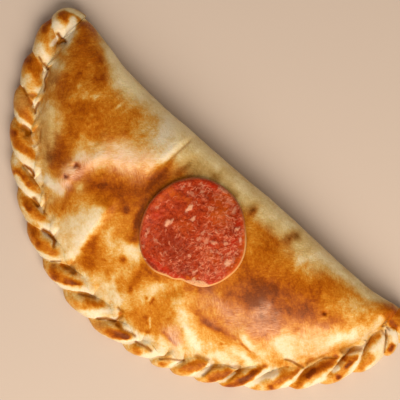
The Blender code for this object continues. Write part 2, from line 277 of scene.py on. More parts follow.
def doughSurface():
    # rows of constant crimp number, closer at the creases by a sine; columns over fold, dome, rope and base
    crimpCount = len(crimpLengths)
    number = np.linspace(0, crimpCount, crimpCount * dough["rowsPerCrimp"] + 1)[:, None]
    full, shift = 2 * math.pi, dough["rowsShift"]
    number = number - dough["rowsCloser"] * (np.sin(full * (number + shift)) - math.sin(full * shift)) / full
    share = np.mod(number, 1)
    middle = np.interp(number, np.arange(crimpCount + 1), creases)
    inner = np.interp(middle, crimpMiddles, innerAngles)
    finger = dough["fingerAngle"] * lipShare(share) * between(0, dough["fingerFrom"], fromEnds(middle))
    groove = np.radians(inner - finger)
    angle = mix(groove, math.radians(dough["ropeEndAngle"]), np.linspace(0, 1, dough["ropeColumns"])[None, :])
    ropePlan, ropeHeight = ropePart(number, angle)
    bodyPlan, bodyHeight, bodyMarks = bodyPart(number, groove)
    baseShare = np.linspace(0, 1, dough["baseColumns"] + 2)[None, 1:-1, None]
    basePlan = mix(ropePlan[:, -1:], bodyPlan[:, :1], baseShare)
    baseHeight = np.zeros(basePlan.shape[:2])
    points = np.concatenate([np.concatenate([plan, height[..., None]], axis=-1) for plan, height in (
        (bodyPlan, bodyHeight), (ropePlan, ropeHeight), (basePlan, baseHeight))], axis=1)

    def across(*values):  # one mark over the three groups of columns
        return np.concatenate([np.broadcast_to(value, height.shape) for value, height in zip(
            values, (bodyHeight, ropeHeight, baseHeight))], axis=1)
    intoRope = (groove - angle) * crimpWidths.mean() / 2
    marks = dict(onBody=across(1, 0, 0), onRope=across(0, 1, 0), onBase=across(0, 0, 1),
                 number=across(number, number, number), ropeAngle=across(groove, angle, 0),
                 rise=across(bodyMarks["rise"], math.pi / 2, 0),
                 toRope=across(bodyMarks["toRope"], intoRope, dough["farFromRope"]))
    return points, marks


def capRings(section, sunk):
    # the end section shrunk evenly to a point in its middle, a little below its top
    middle = np.append(section[:, :2].mean(axis=0), sunk * section[:, 2].max())
    share = np.linspace(1, 0, dough["tipRings"] + 1)[1:, None, None]
    return middle + (section - middle) * share


def gridNormals(points):
    # cross product of the two directions' central differences; columns go round, rows don't
    alongRows = np.gradient(points, axis=0)
    alongColumns = (np.roll(points, -1, axis=1) - np.roll(points, 1, axis=1)) / 2
    normals = np.cross(alongColumns, alongRows)
    return normals / np.maximum(np.linalg.norm(normals, axis=-1, keepdims=True), 1e-12)


def tubeMesh(name, points, values):
    # a closed mesh from rows of points that go round, with the first and last row each drawn to one point
    rows, columns = points.shape[:2]
    ends = [points[0].mean(axis=0)[None], points[-1].mean(axis=0)[None]]
    places = np.concatenate([points[1:-1].reshape(-1, 3), *ends])
    at = np.arange((rows - 2) * columns).reshape(rows - 2, columns)
    nextAt = np.roll(at, -1, axis=1)
    quads = np.stack([at[:-1], nextAt[:-1], nextAt[1:], at[1:]], axis=-1).reshape(-1, 4)
    first, last = len(places) - 2, len(places) - 1
    startFan = np.stack([np.full(columns, first), nextAt[0], at[0]], axis=-1)
    endFan = np.stack([np.full(columns, last), at[-1], nextAt[-1]], axis=-1)
    mesh = bpy.data.meshes.new(name)
    mesh.from_pydata(places * mm, [], quads.tolist() + startFan.tolist() + endFan.tolist())
    mesh.shade_smooth()
    for label, value in values.items():
        flat = np.concatenate([value[1:-1].reshape(-1), [value[0].mean(), value[-1].mean()]])
        mesh.attributes.new(label, "FLOAT", "POINT").data.foreach_set("value", flat.astype(np.float32))
    piece = bpy.data.objects.new(name, mesh)
    bpy.context.scene.collection.objects.link(piece)
    return piece


print("dough: shape")
points, marks = doughSurface()
sunkTip = 0.93  # the point that closes each end, as a share of the end's height
points = np.concatenate([capRings(points[0], sunkTip)[::-1], points, capRings(points[-1], sunkTip)])
marks = {label: np.concatenate([np.repeat(value[:1], dough["tipRings"], axis=0), value,
                                np.repeat(value[-1:], dough["tipRings"], axis=0)])
         for label, value in marks.items()}

crustRelief = dict(  # lengths in mm
    unevenness=[(22, 0.45, 11), (9, 0.25, 12), (4, 0.10, 13)],  # size, rise and seed
    blisters=150, blisterSeed=5, blisterArea=((-95, 95), (-40, 46)), blisterRadius=(0.8, 2.4),
    blisterRise=0.13,  # for each mm of radius
    # burst blisters: x, y, two radii and turn, then the depth of the hollow and the rise of its rim
    burst=[(-56.0, -2.4, 2.0, 1.5, 40, 0.9, 0.5), (-56.0, -9.3, 1.7, 1.2, 40, 0.7, 0.4),
           (74.9, 25.5, 1.5, 1.2, 0, 0.9, 0.2)],
    rimReach=2, rimShare=1.6,  # the rim's radii and rise against the hollow's
    hollowDepth=0.7,  # of a hollow stroke, for each mm of its half width
    seamFill=0.9, seamWidth=1.5,  # dough that fills the seam between the dome and the rope
    # where it fades: sine of the fold's angle, mm from the rope, the fold's angle for the noises, and their
    # share on the rope
    topSpan=(0, 0.5), ropeSpan=(1, 5), sideSpan=(-1.2, 0), ropeNoise=0.5,
)


def crustBumps(points, marks):
    # sum of soft noises, small domes a(1 - r^2)^2 at random places, burst blisters with a raised rim, a full
    # seam exp(-d^2), and hollows along strokes
    x, y = points[..., 0], points[..., 1]
    onTop = marks["onBody"] * between(*crustRelief["topSpan"], np.sin(marks["rise"]))
    onTop = onTop * between(*crustRelief["ropeSpan"], marks["toRope"])
    soft = marks["onBody"] * between(*crustRelief["sideSpan"], marks["rise"])
    soft = soft + crustRelief["ropeNoise"] * marks["onRope"]
    rise = soft * noiseSum(points, crustRelief["unevenness"])
    rng = np.random.default_rng(crustRelief["blisterSeed"])
    for _ in range(crustRelief["blisters"]):
        spotX, spotY = [rng.uniform(*span) for span in crustRelief["blisterArea"]]
        radius = rng.uniform(*crustRelief["blisterRadius"])
        away = ((x - spotX) ** 2 + (y - spotY) ** 2) / radius ** 2
        rise += crustRelief["blisterRise"] * radius * onTop * np.clip(1 - away, 0, 1) ** 2
    for *spot, depth, rim in crustRelief["burst"]:
        inside = softSpot(x, y, spot)
        spot[2:4] = [radius * crustRelief["rimReach"] for radius in spot[2:4]]
        around = crustRelief["rimShare"] * softSpot(x, y, spot)
        rise += onTop * (rim * around - (rim + depth) * inside ** 2)
    rise += crustRelief["seamFill"] * np.exp(-(marks["toRope"] / crustRelief["seamWidth"]) ** 2)
    for level, width, *places in strokes["hollowShade"]:
        rise -= crustRelief["hollowDepth"] * level * width * softStroke(x, y, width, places)
    return rise


baking = dict(
    # the baked level, 0 for cream and 1 for dark brown, which some strokes also use for painted shade and
    # painted
    # highlights: its start on the dome, the rope, its outer side and the base
    dome=0.5, rope=0.34, ropeOutside=0.3, base=0.6, domeMore=0.06, outsideSpan=(-0.6, 0.3),
    cloud=[(11, 0.10, 31), (5.5, 0.05, 32), (2.75, 0.025, 33), (1.375, 0.0125, 34)],  # size, amount and seed
    # over one crimp, from one crease to the next: how much more baked, less at the lip, which is pale dough
    # with a painted highlight where it faces the light; and how far the dark crease, painted shade, reaches
    overCrimp=[(0, 0.1), (0.12, 0.1), (0.4, 0.04), (0.6, 0), (0.7, -0.12), (0.8, -0.28), (0.93, -0.3),
               (1, 0)],
    creaseReach=(0.3, 0.02), creaseShadeLevel=0.35, creaseSpan=(0.4, -0.6), fingerReach=2.5,
    # the pale band along the fold's edge: x and how far it reaches in, in mm, then how that wanders and
    # fades;
    # its low level is pale dough and also painted light on the fold's shaded side
    foldBand=[(-93, -1), (-80, 3), (-70, 5), (-60, 7), (-48, 4.5), (-41, 4), (-35, 6), (-29, 10), (-25, 13),
              (-20, 17), (-13, 15), (-5, 12.5), (0, 12), (15, 12), (25, 10), (36, 9), (45, 9), (60, 7),
              (70, 5), (85, 3), (93, -1)],
    bandWander=[(12, 2.5, 51), (6, 1.25, 52)], bandSoft=(-2.5, 3.5), bandHeight=(5, 12),
    bandLevel=0.08, bandNoise=[(7, 0.25, 52)], bandShare=0.75, bandRaw=0.9,
    # noises that move the strokes in x and y, less if narrow; narrow ones near the rope have a sharper edge
    wanderX=[(9, 2.4, 21), (3.5, 1.2, 22), (1.5, 0.5, 23)],
    wanderY=[(9, 2.4, 24), (3.5, 1.2, 25), (1.5, 0.5, 26)], wanderMost=1.4, wanderWidth=3.5,
    sharpEdge=(0.08, 0.85), sharpBelow=1.5, halfSharpBelow=2.6, sharpFromRope=5,
    # marks of an oil brush: length, width, strength, then turn and seed right and left of the slice
    brushMarks=[(5, 0.9, 1.0, (-38, 61), (55, 62)), (2.6, 0.7, 0.6, (-20, 63), (70, 64))],
    brushStrength=0.045, leftOfSlice=(10, -25),
)

# strokes over the crust as seen from above, laid in order: level and half width, then the places x, y of
# their line in mm; baked: 0 is cream and 1 is dark brown, mostly browning, with some strokes of painted
# shade in creases and beside the slice and some painted highlights on crests and lips that face the light
bakedShadeAndLightStrokes = [
    # dome, left part
    (0.74, 14, (-92, 42), (-84, 24)), (0.72, 11, (-96, 48), (-80, 40)), (0.68, 9, (-76, 34), (-70, 14)),
    (0.62, 9, (-62, 30), (-60, 16)), (0.52, 8, (-50, 34), (-40, 30)), (0.42, 3.5, (-42, 36)),
    (0.4, 4, (-37, 28)), (0.92, 2.4, (-74.5, 37), (-75, 34.5)), (0.85, 2.2, (-83, 30)), (0.84, 3, (-80, 41)),
    (0.8, 3.5, (-88, 22)), (0.8, 3.4, (-72, 17)), (0.78, 3, (-69, 9)), (0.82, 3, (-96, 47.5)),
    (0.72, 2.6, (-55, 26)), (0.74, 2.4, (-50, 24)), (0.72, 3, (-60, 18), (-57, 14)), (0.7, 2, (-52, 36)),
    (0.36, 2, (-67, 40), (-68, 36)), (0.5, 1.5, (-80, 26)), (0.45, 1.6, (-75, 23), (-70, 29)),
    (0.15, 0.9, (-70, 27)), (0.2, 0.6, (-59.5, 31.5)), (0.48, 2, (-64, 26)), (0.25, 3, (-95, 26)),
    (0.45, 4, (-84, 9), (-80, 4)), (0.3, 4, (-79, 3), (-73, -7)),
    # the pale ridge, with a painted highlight on its crest and the flank that faces the light,
    # and the burst blisters
    (0.5, 5, (-62, 8), (-52, 15)), (0.22, 4.5, (-55, 3), (-48, 11)),
    (0.2, 5, (-48, 11), (-38, 17), (-30, 21)), (0.1, 1.5, (-29.6, 18), (-28.6, 26), (-28, 38)),
    (0.22, 2.6, (-56, 0), (-54, -16)), (0.05, 2.2, (-53, -17), (-62, -17)), (0.86, 5.5, (-67, -3), (-65, -7)),
    (0.66, 3.5, (-71, 1)), (0.58, 3, (-62, -11)), (1, 1.3, (-55.6, -1.9), (-53.6, -1.5)),
    (1, 1, (-56, -8.8), (-54.4, -8.2)),
    # the crease right of the tall fold, dark from baking and painted shade, with a painted highlight and
    # painted shade on the small fold beside it, and the painted shade beside the slice
    (0.7, 2.8, (-23, 6), (-23.5, 26)), (0.8, 0.9, (-24.6, 41), (-25.2, 36)), (0.1, 0.9, (-23, 33), (-18, 43)),
    (0.72, 0.8, (-20.4, 36), (-17, 42)),
    (0.92, 1.9, (-21.5, 21), (-21, 8), (-18, 0), (-13.4, -7), (-9.5, -11)),
    # the brown hollow beside the ridge
    (0.66, 6, (-47, -4), (-36, 2), (-27, 10), (-22, 20)), (0.76, 3.6, (-44, -3), (-35, 2), (-28, 8)),
    (0.8, 3, (-25, 10), (-22.5, 22)), (0.92, 1.5, (-40, -0.8)), (0.88, 1.6, (-25.5, -1.5)),
    (0.5, 1.6, (-42, 6), (-34, 10.5)), (0.5, 3.5, (-26, -7), (-16, -9)), (0.34, 2.6, (-47, -8)),
    (0.44, 4, (-43, -12), (-37, -10)), (0.14, 6, (-40, -20), (-44, -29)), (0.12, 4, (-36, -16), (-33, -30)),
    (0.03, 2.4, (-33, -11), (-31.5, -18), (-31, -28), (-30, -34)), (0.62, 1.6, (-50, -12), (-48.5, -24)),
    (0.8, 1.6, (-48, -22)), (0.4, 3, (-53, -21), (-46, -26)), (0.12, 5, (-17, -17), (-8, -14)),
    (0, 2, (-12, -15), (-8, -13)), (0.66, 4.2, (-26, -23), (-21, -33)), (0.82, 1.8, (-20.5, -32.5)),
    (0.78, 1.5, (-25, -24)), (0.78, 1.6, (-11, -19.5)), (0.56, 2.4, (-13, -27), (-10, -28)),
    # below the slice, where the pale ridges have painted highlights on their sides that face the light
    (0.2, 4, (-12, -34), (0, -37)), (0.58, 2, (-4, -28), (-2, -31)), (0.25, 1.3, (-8, -28), (-5, -31)),
    (0.1, 2.4, (-3, -33), (1, -36)), (0.64, 2.2, (2, -15), (0, -22), (1.5, -26)), (0.88, 1.2, (1.5, -26.8)),
    (0.12, 3.6, (11, -16), (9, -22)), (0.74, 0.8, (9, -25)), (0.74, 0.8, (12.3, -25.5), (12, -23.5)),
    (0.4, 3, (15, -20), (21, -18)), (0.58, 4.6, (18, -27), (22, -27)), (0.56, 3.6, (14, -33), (18, -35)),
    (0.86, 1.1, (20.5, -36.5)), (0.84, 1, (15.5, -32)), (0.25, 0.6, (17, -31), (20, -34)),
    (0.25, 3, (26, -29), (34, -31)), (0.62, 0.9, (27, -32), (34, -32)),
    (0.1, 3.4, (22, -17), (30, -22), (44, -27.5)), (0.02, 2, (32, -23), (43, -27)),
    (0.36, 4, (45, -19), (38, -17)),
    # right of the slice
    (0.55, 8, (30, -5), (44, -6)), (0.72, 1.6, (31, -14), (38, -13.8), (46, -12.5), (54, -11)),
    (0.88, 1, (36, -15), (44, -13)), (0.84, 0.7, (31.5, -15.2)), (0.8, 0.7, (49.5, -17.5)),
    (0.66, 9, (36, 8), (38, 26)), (0.68, 9, (46, 16), (66, 24)), (0.64, 7, (56, 30), (78, 34)),
    (0.7, 7, (64, 36), (80, 42)), (0.62, 6, (34, 34), (44, 32)), (0.9, 4.4, (47, 12), (46, 7)),
    (0.88, 2.6, (51, 18)), (0.8, 3, (43, 15)), (0.84, 1.6, (36, 3)), (0.8, 3, (60, 14), (64, 14)),
    (0.95, 2, (47.5, 11)), (0.42, 4, (52, 4), (55, 8)), (0.7, 1, (61, -1)), (0.42, 5, (56, 0), (62, 3)),
    (0.16, 8, (72, 4), (82, 14)), (0.2, 6, (74, 12), (88, 24), (93, 32)), (0.03, 3.4, (69, 1), (79, -1)),
    # the cream stroke near (59, -8) is a painted highlight on the fold's steep side, and the thin dark line
    # at y = -11 under it painted shade in the crease
    (0.04, 3, (86, 18), (90, 26)), (0.42, 2.2, (92, 16)), (0, 2.6, (56, -8.2), (62, -7.4)),
    (0.7, 0.6, (50, -11), (56, -11), (62, -11)), (0.1, 4.4, (60, -15), (52, -22)),
    (0.15, 4, (68, -8), (66, -14)), (0.6, 1.4, (54, -12)), (0.97, 1.1, (75, 25)),
    (0.45, 1.4, (69, 31), (72, 31)), (0.5, 3, (80, 38), (86, 36)), (0.66, 4, (90, 46), (97, 45)),
    (0.72, 2.6, (98, 49), (103, 48)), (0.1, 2, (96, 30), (96, 40)),
    # along the fold
    (0.78, 1.9, (39, 40), (40.5, 43)), (0.74, 1.1, (53.5, 37)), (0.8, 2, (37.5, 31.5)),
    (0.72, 2, (19.5, 39.5)), (0.72, 1.4, (44, 35)), (0.16, 3.4, (50, 35), (52, 38)),
    # tip, where the cream strip down the rope's end is a painted highlight on its side that faces the light
    (0.74, 2.1, (-109, 45.3), (-105, 45.2)), (0.1, 1.3, (-112, 43), (-110, 48.4), (-104, 50.6), (-99, 51.4)),
    (0, 1.6, (-109, 40), (-104, 39.4), (-99.5, 38)), (0, 1.9, (-102.5, 47), (-100.3, 43), (-98.6, 38)),
    (0.86, 2, (-111.5, 38.5), (-109.5, 34.5)), (0.6, 3, (-107, 32)), (0.02, 0.9, (-103, 36), (-102.3, 31.5)),
    (0.06, 2, (-107, 26), (-103, 25), (-98, 24.5)), (0.8, 2.8, (-107, 18.5), (-103, 18)),
    (0.66, 2.2, (-103, 18), (-99, 16)), (0.1, 0.8, (-96.3, 20), (-95, 17), (-92.8, 14.8)),
    (0.03, 2.2, (-101, 12), (-96, 10.6), (-92, 11.5)), (0.55, 4, (-98, 3), (-92, 3)),
    (0.1, 1.1, (-90.5, 8), (-89, 4.8)), (0.62, 1.8, (-91, -0.6), (-84, -1)),
    # rope, left part; here and further on the cream lips are pale dough with a painted highlight where they
    # face the light
    (0.02, 1.2, (-95, -2.6), (-89, -4.2), (-83.5, -3.4)), (0.42, 1.8, (-81.4, -2), (-78.6, -6), (-80, -10)),
    (0.08, 0.9, (-79.6, -12), (-76, -8.6)), (0.7, 2.3, (-88, -11), (-82, -13), (-75, -13)),
    (0.85, 1.3, (-87.5, -10.5)), (0, 1.5, (-80, -16.6), (-74, -16.8), (-68, -16.8)),
    (0.06, 1.5, (-68, -16.8), (-64.8, -19.4)), (0.58, 2.2, (-75, -21.5), (-64, -22.9)),
    (0.72, 1.3, (-74.5, -21.5)), (0.72, 1.3, (-66.5, -23.5)), (0.5, 1.4, (-61, -22.5)),
    (0, 1.5, (-73, -25.3), (-66, -26.8), (-60, -25.6)), (0.04, 1.2, (-59, -25), (-56.5, -26), (-54, -29)),
    (0.7, 2, (-64, -30), (-52, -30.6)), (0.86, 1.8, (-62, -31), (-59, -31.3)),
    (0.12, 1.2, (-61, -34), (-55, -35.4), (-48, -34)), (0.03, 2.2, (-47, -32.4), (-42.5, -31.6)),
    (0.6, 2.6, (-50, -38), (-40, -39.5)), (0.55, 1.5, (-46, -37), (-41, -37.3)), (0.76, 2, (-44, -41)),
    (0.6, 2, (-36.5, -38)), (0, 1.3, (-50, -43), (-42, -44), (-35, -42.3), (-31.6, -40)),
    (0.1, 1.1, (-29.2, -38.4)), (0.74, 2.4, (-32, -44), (-27, -47)),
    (0.66, 2.2, (-23, -44.5), (-18.5, -41.8)), (0, 1.4, (-29, -50), (-22, -48), (-16, -42.6)),
    # rope, lower part
    (0.72, 1.9, (-10, -46.2), (-4.5, -42)),
    (0.08, 1.6, (-9, -51), (-5.4, -48.6), (-2, -45), (0.5, -42), (3.4, -40)),
    (0.55, 1.6, (-16, -50), (-9.5, -48)), (0.15, 2.2, (0.5, -44.5)), (0.5, 3, (3, -48)),
    (0.62, 1.9, (8, -48), (14, -45.4)), (0.95, 1.6, (15.2, -45.6)), (0.62, 1.4, (6, -39), (9.5, -43)),
    (0, 1.2, (8.6, -52.4), (14, -50.4), (18, -46.8), (20, -43.6)), (0.64, 2.2, (22.5, -47.6)),
    (0, 2, (26.5, -48.6), (29, -44), (31, -39.5)), (0.66, 1.7, (35.2, -44.4)),
    (0, 1.1, (38.6, -45), (40, -40), (41, -36.6)), (0.62, 2.4, (44.5, -39), (49.5, -30.6)),
    (0, 1.3, (49.6, -38), (52, -33), (52.6, -28)), (0.72, 2, (57, -33), (61, -25.4)),
    (0.02, 0.9, (59, -35), (61.8, -30), (62.8, -24)), (0.8, 1.9, (65.2, -30), (69, -22), (71.2, -12.6)),
    (0.92, 1.2, (68.2, -24), (69.8, -17)), (0, 1.6, (69, -30), (72.5, -22), (74, -12)),
    # rope, right part
    (0.7, 1.9, (80, -17.4), (82, -10), (84.6, -3.5)), (0.86, 1.2, (79.8, -17.5)), (0, 1.8, (77, -12.5)),
    (0, 0.8, (84, -14), (85.8, -8), (86, -2)), (0.78, 1.9, (88.4, -7.4), (90.5, 0), (94.3, 11.5)),
    (0.98, 1.4, (90.4, -1.6), (90.4, 2)), (0.8, 1.4, (93.9, 14)), (0, 1.2, (94, -6), (95.9, 2), (97, 10)),
    (0.96, 1.2, (99.3, 13.5), (99.4, 18)), (0.72, 1.4, (96.5, 16), (100, 20)), (0.82, 1.3, (100, 7)),
    (0.55, 1.6, (97, 5)), (0, 0.9, (103, 2), (103.8, 12), (102, 20), (100.6, 23)),
    (0.64, 2, (105.6, 19), (104.6, 24.5)), (0.68, 1.7, (100.8, 33.5), (100.8, 28.5)),
    (0, 3, (105, 32), (104, 29)), (0.04, 1.3, (109.4, 28), (108.6, 20)), (0.1, 3, (109.3, 34)),
    (0.86, 1.6, (109, 35.2), (109.8, 33)), (0, 1.6, (101, 38.4), (106, 40), (109, 38)),
    (0.84, 2, (102, 43.6), (103.5, 43)),
]

# raw: 1 is pale olive dough
rawStrokes = [
    (0, 5, (-98, 47), (-91, 45)), (0.5, 3.2, (-95, 26), (-92, 17)), (0.7, 4, (-80, 5), (-74, -4)),
    (0.6, 3, (-74, -4), (-68, -10)), (0.5, 3, (-47, -8)), (0.6, 2.5, (-54, -22)), (0, 3, (98, 49), (103, 48)),
    (0.6, 3, (58, 40), (55, 43)), (0, 2, (39.5, 41)), (0, 1.8, (19.5, 39.5)), (0, 4, (-107, 44)),
    (0.9, 1.3, (-112, 43), (-110, 48.4), (-104, 50.6), (-99, 51.4)), (0, 3, (-101, 43)),
    (0.4, 4, (-98, 3), (-94, 3)), (0, 1.8, (-81.4, -2), (-78.6, -6), (-80, -10)), (0.4, 2, (-33, -42.5)),
    (0.4, 2.6, (-15, -47)), (0.5, 3, (3, -48)), (0.5, 1.8, (36, -40.5)), (0.5, 1.4, (42, -39), (43.4, -33)),
    (0, 6.5, (-49, 36), (-40, 36), (-33, 30)),
]

# painted sheen: 1 is the pale pink shine on the oil, a painted reflection of the light
paintedSheenStrokes = [
    (0.7, 4.5, (-54, 0), (-48, 11), (-38, 16), (-30, 20)), (0.7, 2.6, (-55, -1), (-54, -16)),
    (0, 1.3, (-55.6, -1.9), (-53.6, -1.5)), (0, 1, (-56, -8.8), (-54.4, -8.2)),
    (0, 3.2, (-24, 29), (-23.5, 8)), (0, 2.6, (-26.5, 24), (-26.5, 15)), (0.65, 2.8, (28, -28.5), (34, -31)),
    (0.3, 5, (34, -6), (52, -4)), (0.4, 4, (52, 4), (55, 8)), (0.35, 5, (58, 0), (68, 0)),
    (0.3, 6, (70, 6), (84, 14)),
]

# hollow shade: 1 is a dark crevice, painted as shade and also carved into the dough
hollowShadeStrokes = [
    (0.6, 0.5, (-24.4, 42), (-24.8, 36), (-25.2, 30), (-26.4, 22), (-28, 17)),
    (1, 0.9, (-103.8, 37.4), (-101, 36.4), (-98.4, 36.6)), (1, 1.4, (-99.6, 36), (-100.4, 34)),
    (0.9, 0.6, (-103, 23), (-99.5, 21.8), (-96.5, 22)), (0.9, 0.8, (-99, 22.2), (-96.6, 21.7)),
    (0.85, 0.5, (-95.6, 20.5), (-94.3, 17), (-91.4, 15), (-90.5, 13)),
    (0.8, 0.7, (-99, 8), (-95.5, 6.6), (-92.5, 8)), (0.85, 0.6, (-88.6, 7.4), (-88, 4.6), (-86.6, 3)),
    (0.3, 1.4, (-90, -7), (-86, -6.6)), (1, 1.3, (-86.4, -5.7), (-82.8, -5.4), (-83, -7.6)),
    (0.6, 0.5, (-79.4, -0.5), (-76.4, -5), (-76.8, -9)),
    (1, 0.9, (-74, -18.9), (-71, -18.1), (-69, -18.6), (-67.8, -19.4)), (0.9, 0.6, (-61.5, -20)),
    (0.85, 1, (-60.6, -26.5), (-57, -27.6)), (0.7, 0.5, (-58, -21.5), (-54.5, -25), (-52.5, -28.5)),
    (1, 0.9, (-47, -34.4), (-44, -33.5), (-39.6, -34.4), (-38.2, -37)),
    (0.8, 1.3, (-27.6, -39.6), (-25.8, -38.6), (-23.8, -39.4)), (0.7, 0.5, (-35, -43), (-31.4, -39.8)),
    (0.7, 0.9, (-15, -45), (-12, -43), (-8.6, -41.6)), (0.8, 0.7, (3, -38), (6, -37.8)),
    (0.9, 0.7, (-1, -48), (2, -45), (6, -43), (7, -39.6)),
    (0.9, 0.9, (8, -43.6), (12, -44), (14, -43.2), (17.4, -42.4)),
    (0.9, 0.8, (20, -44.5), (24, -43), (27.4, -42.4)),
    (0.8, 0.6, (33.2, -42.5), (36.6, -39), (40, -36.9), (42, -35.2)), (0.6, 1, (44.5, -29.6), (50, -27.5)),
    (0.65, 0.9, (53, -34), (54, -28), (58.5, -24), (62, -21.2), (63.6, -20.8)),
    (0.4, 0.6, (63.8, -29), (64.2, -21)), (0.9, 0.7, (76.5, -3), (80, -1), (85.4, 0)),
    (0.6, 0.7, (86, 3), (88.6, 9), (93.2, 13.4)), (0.7, 1.4, (93.4, 18), (95.6, 20.6), (98.6, 24.2)),
    (0.4, 0.6, (98.8, 43.5), (99.7, 38.5), (99.3, 34), (98.9, 26)),
    (0.6, 0.5, (100, 37.2), (104, 36.5), (106, 33.5), (108.4, 30.4)),
    (0.6, 0.5, (99.6, 41), (101, 40), (103, 39.9)), (0, 2, (62, -18), (67, -16.6)), (0, 1.4, (34.2, -37)),
]

# more: added to the baked level at the end, darker where positive and lighter where negative; partly
# browning, partly painted shade, as beside the slice and in creases, and partly painted light, as on the
# fold's shaded side
addedBakedShadeAndLightStrokes = [
    (-0.2, 4, (-92, 47), (-82, 47)), (-0.25, 4, (-74, 43), (-69, 43)), (-0.15, 2.5, (-66, 44.5), (-28, 44.5)),
    (-0.15, 3, (-36, 42), (-33, 35)), (-0.3, 2.5, (-100, 46), (-97, 34)), (-0.18, 5, (-96, 36), (-92, 24)),
    (-0.12, 5, (-90, 26), (-86, 8)), (-0.1, 9, (-84, 38), (-72, 34)), (-0.2, 3, (-78, 25), (-79, 19)),
    (-0.1, 3, (-57, 33), (-56, 25)), (-0.1, 4, (-46, 32), (-38, 32)), (-0.3, 4, (-34.5, 31.5), (-34, 36)),
    (-0.14, 3, (-40, 36), (-34, 41)), (0.12, 3, (-23, 35), (-15, 37)), (-0.1, 3, (-48, 41), (-35, 41)),
    (-0.15, 4, (-79, 8), (-74, 6)), (-0.16, 4, (-60, 7), (-54, 9)), (-0.15, 2.5, (-59, 0), (-55, 1)),
    (0.14, 2.4, (-56, -8), (-53.5, -12)), (-0.25, 4, (-66, -13), (-62, -15)),
    (-0.14, 2.2, (-76, -11), (-68, -12)), (-0.12, 4, (-60, -16), (-54, -18)), (-0.15, 3, (-88, 8), (-84, 3)),
    (-0.12, 3, (-48, -5), (-45, 4)), (0.15, 1.5, (-21, -42.5), (-16, -41)), (0.18, 2, (-25, 26), (-24.5, 14)),
    (-0.25, 2, (-27, 28), (-25.5, 36)), (0.1, 1.4, (-26, 25), (-26, 17)), (0.12, 3, (-37, -10), (-31, -6)),
    (0.2, 1.5, (-9, -11.5), (-5.5, -13)), (0.2, 5, (-19, -13), (-12, -17)), (0.14, 5, (-49, -23), (-40, -22)),
    (0.28, 2, (-29, -22), (-28.5, -28)), (0.25, 1.8, (-30, -39.5), (-28, -36.5)),
    (0.15, 3, (-46, -38.5), (-35, -41.5)), (-0.25, 4, (-20, -35), (-16, -39)),
    (0.22, 2.5, (-60, -34), (-50, -35.5)), (0.36, 2, (-75, -24.4), (-71, -24.4)),
    (0.25, 1.4, (-61, -27), (-57, -26.4)), (-0.15, 1.6, (-78, -20), (-66, -20)),
    (-0.15, 2, (-79, -19.5), (-75.5, -22.5)), (-0.12, 2, (-49, -28), (-46, -27.5)),
    (-0.2, 1.5, (-67, -16.6), (-63.6, -17.6)), (-0.15, 2.5, (-42, -36), (-33, -35)),
    (0.15, 3, (-27, -45), (-18, -42)), (0.2, 1.3, (-24, -47), (-17, -42.5)), (0.15, 3, (-101, 15), (-93, 8)),
    (0.15, 2.2, (-102, 13), (-96, 11)), (0.1, 1.5, (-93, 8), (-89.5, 8.5)), (-0.2, 2, (-107, 36), (-102, 31)),
    (-0.25, 2, (-108, 41.4), (-102, 41.6)), (0.26, 4, (-19, 31), (-4, 37)),
    (0.38, 2, (-18, 29), (-14, 32.5), (-8, 36), (0, 38), (8, 38.4)), (-0.12, 4, (12, 43), (26, 43)),
    (0.65, 2.4, (39, 40), (40.5, 43)), (0.1, 2.2, (-3, 39), (20, 39)), (-0.2, 5, (48, 36), (58, 37)),
    (-0.18, 6, (66, 40), (84, 41)), (0.18, 6, (38, 12), (44, 10)), (0.22, 5, (53, 11), (56, 5)),
    (0.2, 6, (60, 6), (59, 0)), (0.3, 5, (70, 18), (80, 22)), (0.16, 5, (71, 14), (79, 17)),
    (0.05, 5, (68, 2), (74, 5)), (0.25, 4, (78, 25), (85, 26)), (0.12, 4, (91, 36), (95, 32)),
    (0.08, 5, (36, -3), (47, 0)), (-0.06, 5, (30, -9), (50, -10)), (-0.12, 2.5, (52.5, -8), (52.5, -15)),
    (0.22, 3, (19, -10), (25, -6), (30, 0)), (0.2, 1.6, (-2, -14.5), (8, -15)),
    (-0.15, 4, (4, -25), (2, -30)), (0.22, 2.6, (26, -30), (30, -30)), (-0.1, 2.5, (34, -18), (37, -20)),
    (-0.15, 2, (21.5, -44), (23, -38)), (-0.3, 2.6, (28, -36), (37, -35)), (-0.25, 3, (38, -31.5), (42, -32)),
    (-0.15, 3, (32, -16), (33, -21), (41, -23)), (-0.2, 3, (14, -40.5), (23, -40)),
    (-0.24, 4.4, (78, 31), (83, 34)), (-0.2, 1.6, (76, -11), (71, -23)), (0.2, 2, (79, -3.5), (85, 0)),
    (-0.1, 3, (84, 6), (88, 11)), (-0.25, 2.6, (63.5, -15), (66, -17.5)), (-0.25, 2.4, (50, -26), (59, -22)),
    (0.2, 1.4, (84.5, -1), (86, 5)), (-0.15, 1.2, (97, 17), (98.4, 21)), (-0.15, 1.5, (88, 2), (91, 8)),
    (0.15, 1.5, (79.5, -5), (79, -14)), (-0.15, 1.5, (75.6, -11), (75, -15)),
    (0.18, 1.6, (99.5, 5), (99.5, 11)), (-0.2, 1.2, (50, -36), (52.4, -30)),
    (0.22, 2.5, (2, -49), (10, -49), (16, -45)), (0.2, 1.3, (12, -49), (17.4, -44)),
    (0.15, 1.5, (0, -45), (3, -42)), (-0.25, 1.5, (8, -41), (14, -42)), (0.2, 2, (36, -41), (38, -44)),
    (0.12, 2, (44.5, -29), (45, -33)), (-0.1, 6, (-37, -20), (-33, -28)), (-0.13, 4, (81, 28), (77, 23)),
    (-0.28, 3, (-32, 35), (-31.5, 30)), (-0.3, 2.5, (-99, 43), (-100, 40)),
    (0.16, 2.5, (-23.5, 34), (-25, 37)), (-0.11, 2.5, (-10, -45.5), (-15, -47.5)),
    (0.13, 3, (-12, 37.5), (-17, 38)), (-0.1, 3, (89, 45), (93, 45.5)),
]

